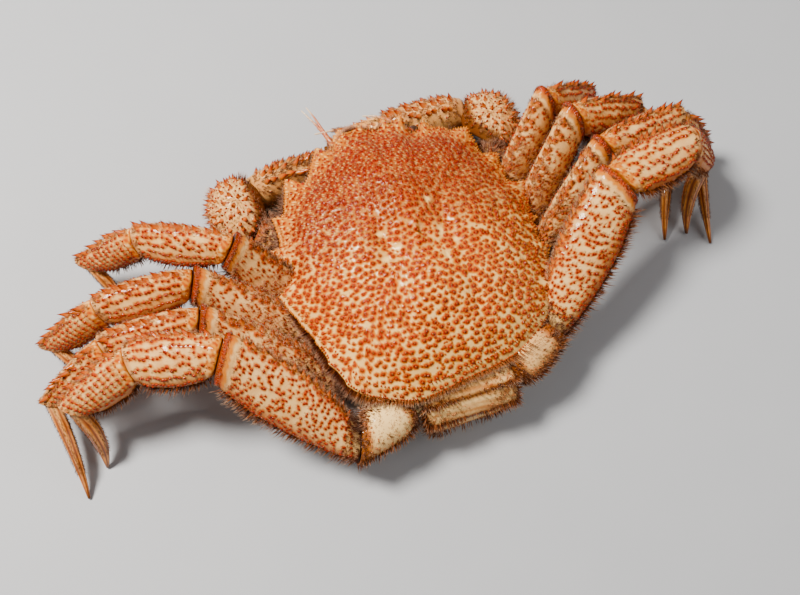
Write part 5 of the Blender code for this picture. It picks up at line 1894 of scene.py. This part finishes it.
def make_head():
    coat = Piece()
    for index, side in enumerate(SIDES):
        make_eye(side, coat)
        make_antenna(side, coat, (1 + index, HEAD_CELLS))
        make_maxilliped(side, coat, (5 + index, HEAD_CELLS))
    make_antennules(coat)
    front_hairs(coat)
    coat.build("bristles_head", bristle_look, "bristle")


make_head()
print("head:", totals["bristles_head"], "triangles of bristles")

# %% [markdown]
# ## Tail and underside
# The tail is a jointed strip that starts behind the shell, folds round the rear and lies along
# the belly. Only its first segments show from above, pale and fringed. The belly plate has a
# groove between each two legs. Both are rods again, with their cross-section made squarer.
# %% Tail
ABDOMEN_PATH = (
    # across, along, height, half width
    (2.2, -49, 25.6, 17), (2.2, -56.4, 24.3, 17.4), (2.0, -61.6, 18, 17), (1, -61, 9, 14.5),
    (0, -55, 3.2, 12.5), (0, -48, 1.75, 11.5), (0, -34, 1.75, 10), (0, -20, 1.75, 7.5),
    (0, -8, 1.75, 4),
)
ABDOMEN_HALF_THICKNESS = 1.75
TAIL_JOINTS = (0.09, 0.19, 0.30, 0.42, 0.56, 0.74)


def tail_rod():
    table = np.array(ABDOMEN_PATH, float)
    gaps = np.hypot(np.diff(table[:, 1]), np.diff(table[:, 2]))
    at = np.concatenate(([0], np.cumsum(gaps))) / gaps.sum()
    stops = [(t, *place, wide, ABDOMEN_HALF_THICKNESS) for t, (*place, wide) in zip(at, table)]
    rod = Rod(stops, (1.0, 0.0, 0.0), ease=0.03)
    rod.square = 0.55
    rod.length = float(gaps.sum())
    return rod


def tail_marks(t, turn, near):
    joint = bumps(t, TAIL_JOINTS, 0.014)
    patchy, side = blotches(t * 4, turn * 2, 60), step(0.7, 1.0, np.abs(np.cos(turn)))
    return {
        # Painted shade in the joints: less pale, more golden and darker there. The sides are darker
        # too.
        "pale": np.clip(0.75 - 0.6 * joint - 0.6 * patchy, 0, 1),
        "warm": np.clip(0.25 + 0.4 * side + 0.3 * patchy, 0, 1),
        "gold": 0.3 * side + 0.25 * joint,
        "dark": 0.75 * joint + 0.2 * side,
        "spot": 0.7 * step(1.2, 0.7, near),
    }


def tail_form(t, turn):
    """Each segment overlaps the next like a tile."""
    height = np.zeros(np.shape(t))
    for place in TAIL_JOINTS:
        past = (np.asarray(t) - place) / 0.03
        height -= 0.4 * np.where(past > 0, np.exp(-past), 0) * step(0, 0.1, past)
    return height


FINE_TUFTS = 90
STOUT_BRISTLES = 100


def make_tail():
    """The jointed strip, with a fringe over each joint and combs at its sides."""
    dress = Dress(tail_rod(), Piece())
    out = dress.rod.frame(np.array([0.2]), np.array([pi / 2]))[1]
    outer = 90 if out[0, 1] < 0 else 270
    spots = dress.patch(0.34, 0.01, 0.5, outer - 66, outer + 66, 1.5, 1.5)
    dress.skin(0.5, spots, tail_marks, FAR_TIP, FAR_TIP_BACK, 0.12, tail_form)
    dress.tubercles(spots, gold=0.5, spot=(0.2, 0.8))
    dress.piece.build("tail_shell", ivory_finish, "pale_shell", "abdomen")
    count = FINE_TUFTS + STOUT_BRISTLES
    for place in TAIL_JOINTS[:5]:
        turn = np.radians(outer + chance.uniform(-78, 78, count))
        t = place - 0.008 + chance.normal(0, 0.004, count)
        dress.bristles(t[:FINE_TUFTS], turn[:FINE_TUFTS], 1.6, 0.3, 4, 0.5, 0.075)
        dress.bristles(t[FINE_TUFTS:], turn[FINE_TUFTS:], 3.6, 0.3, 1, 0.3, 0.18)
    for degrees in (0, 180):
        dress.fringe(0.02, 0.98, degrees, 14, 0.3, 1.6, 0.3, 4, 0.6)
        dress.comb(0.0, 0.5, degrees, 4.2)
    dress.fringe(0.0, 0.45, outer, 40, 0.09, 1.0, 0.5, 3, 1.0, 0.07)
    dress.coat.build("bristles_tail", bristle_look, "bristle")


make_tail()

# %% Belly plate
THORAX_RINGS = (
    # along, lowest, highest, half flat, half side
    (-60, 11, 19, 8, 10), (-55, 5, 23, 11, 15), (-49, 1.5, 24, 13, 20), (-43, 0, 24, 15, 25),
    (-30, 0, 20, 20, 30), (0, 0, 16, 21, 30), (18, 0, 15, 17, 27), (29, 0, 14.5, 11, 21),
    (38, 11, 14, 8, 13),
)
PLATE_JOINTS = (0.22, 0.36, 0.5, 0.64, 0.78)


def plate_rod():
    stops = []
    first, last = THORAX_RINGS[0][0], THORAX_RINGS[-1][0]
    for along, low, high, flat, side in THORAX_RINGS:
        t = (along - first) / (last - first)
        stops.append((t, 0.0, along, 0.5 * (low + high), side, 0.5 * (high - low)))
    rod = Rod(stops, (1.0, 0.0, 0.0), np.array((0.0, 1.0, 0.0)), ease=0.03)
    rod.square = 0.62
    return rod


def plate_form(t, turn):
    """A groove between each two legs, and one along the middle."""
    grooves = bumps(t, PLATE_JOINTS, 0.008)
    middle = np.exp(-((np.cos(turn)) / 0.05) ** 2)
    return -0.9 * grooves * step(0.15, 0.4, np.abs(np.cos(turn))) - 0.6 * middle


def plate_marks(t, turn, near):
    grooves = bumps(t, PLATE_JOINTS, 0.012)
    return {
        # Painted shade in the grooves between the legs: less pale, more golden and darker there.
        "pale": 0.7 - 0.5 * grooves,
        "gold": 0.3 * grooves,
        "warm": 0.2 * step(0.7, 1.0, np.abs(np.cos(turn))),
        "dark": 0.25 * grooves,
        "spot": 0.6 * step(1.2, 0.7, near),
    }


def make_plate():
    dress = Dress(plate_rod(), Piece())
    spots = dress.patch(0.4, 0.15, 0.9, 200, 340, 4.0, 3.0)
    dress.skin(0.7, spots, plate_marks, FAR_ROUND, FAR_ROUND, 0.15, plate_form)
    dress.tubercles(spots, 0.8, gold=0.4, spot=(0.2, 0.8))
    dress.piece.build("belly_shell", ivory_finish, "pale_shell", "thorax")
    dress.fringe(0.1, 0.93, 0, 25, 0.06, 2.0, 0.4)
    dress.fringe(0.1, 0.93, 180, 25, 0.06, 2.0, 0.4)
    dress.fringe(0.1, 0.93, 270, 60, 0.05, 1.2, 0.6)
    dress.coat.build("bristles_belly", bristle_look, "bristle")


make_plate()
print("tail and belly:", totals["tail_shell"] + totals["belly_shell"], "triangles of skin")

# %% [markdown]
# ## Floor, light and camera
# The crab lies on a plain pale floor under soft studio light. The camera stands where the photo
# was taken from: above and a little behind the crab's left side, looking steeply down.
# %% Stage
FLOOR_REACH = 3.0
AIM = (0, 0, 0.02)


def make_floor():
    make = Finish("floor", Roughness=0.6, Metallic=0.0)
    soft = make.noise(30, 2, 0.5)
    look = make.set(make.mix(soft, (0.42, 0.455, 0.51), (0.45, 0.485, 0.54)))
    mesh = bpy.data.meshes.new("floor")
    far = FLOOR_REACH
    corners = [(-far, -far, 0), (far, -far, 0), (far, far, 0), (-far, far, 0)]
    mesh.from_pydata(corners, [], [(0, 1, 2, 3)])
    mesh.materials.append(look)
    floor = bpy.data.objects.new("floor", mesh)
    bpy.context.scene.collection.objects.link(floor)


def stand(item, right, up, back_way, place):
    """Put an object in the scene, turned so that its own axes point these ways."""
    rows = [[column[row] for column in (right, up, back_way, place)] for row in range(3)]
    item.matrix_world = Matrix(rows + [[0, 0, 0, 1]])
    bpy.context.scene.collection.objects.link(item)


def add_light(name, place, size, power, colour):
    """A round soft lamp that shines at the middle of the crab."""
    lamp = bpy.data.lights.new(name, "AREA")
    lamp.shape = "DISK"
    lamp.size = size
    lamp.energy = power
    lamp.color = colour
    back_way = unit(np.array(place, float) - np.array(AIM, float))
    right = unit(np.cross(UP + (1e-3, 0, 0), back_way))
    stand(bpy.data.objects.new(name, lamp), right, np.cross(back_way, right), back_way, place)


make_floor()
add_light("key", (-0.45, 0.30, 0.85), 0.26, 25.0, (1.0, 0.91, 0.80))
add_light("fill", (0.7, -0.3, 0.6), 0.8, 3.2, (1.0, 0.93, 0.86))
world = bpy.data.worlds.new("studio")
world.use_nodes = True
air = world.node_tree.nodes["Background"].inputs
air["Color"].default_value = (1.0, 0.94, 0.88, 1)
air["Strength"].default_value = 0.18
bpy.context.scene.world = world

# %% Camera
# Where the camera stands, and which ways its right, its top and its back point
CAMERA_PLACE = (-0.0735, -0.1166, 0.4055)
CAMERA_RIGHT = (0.9401, -0.3339, 0.0682)
CAMERA_UP = (0.301, 0.9072, 0.2939)
CAMERA_BACK = (-0.16, -0.2558, 0.9534)
lens = bpy.data.cameras.new("camera")
lens.lens = 50
lens.sensor_width = 36
lens.clip_start = 0.01
camera = bpy.data.objects.new("camera", lens)
stand(camera, CAMERA_RIGHT, CAMERA_UP, CAMERA_BACK, CAMERA_PLACE)
bpy.context.scene.camera = camera
print("lamps:", len(bpy.data.lights), "camera:", camera.name)

# %% [markdown]
# ## The finished crab
# The dressed crab may stand proud of the solids by a few millimetres of bristle, and no more.
# The last cell counts the triangles of all its pieces.
# %% Finish
print("triangles in all:", sum(totals.values()), "in", len(totals), "pieces")
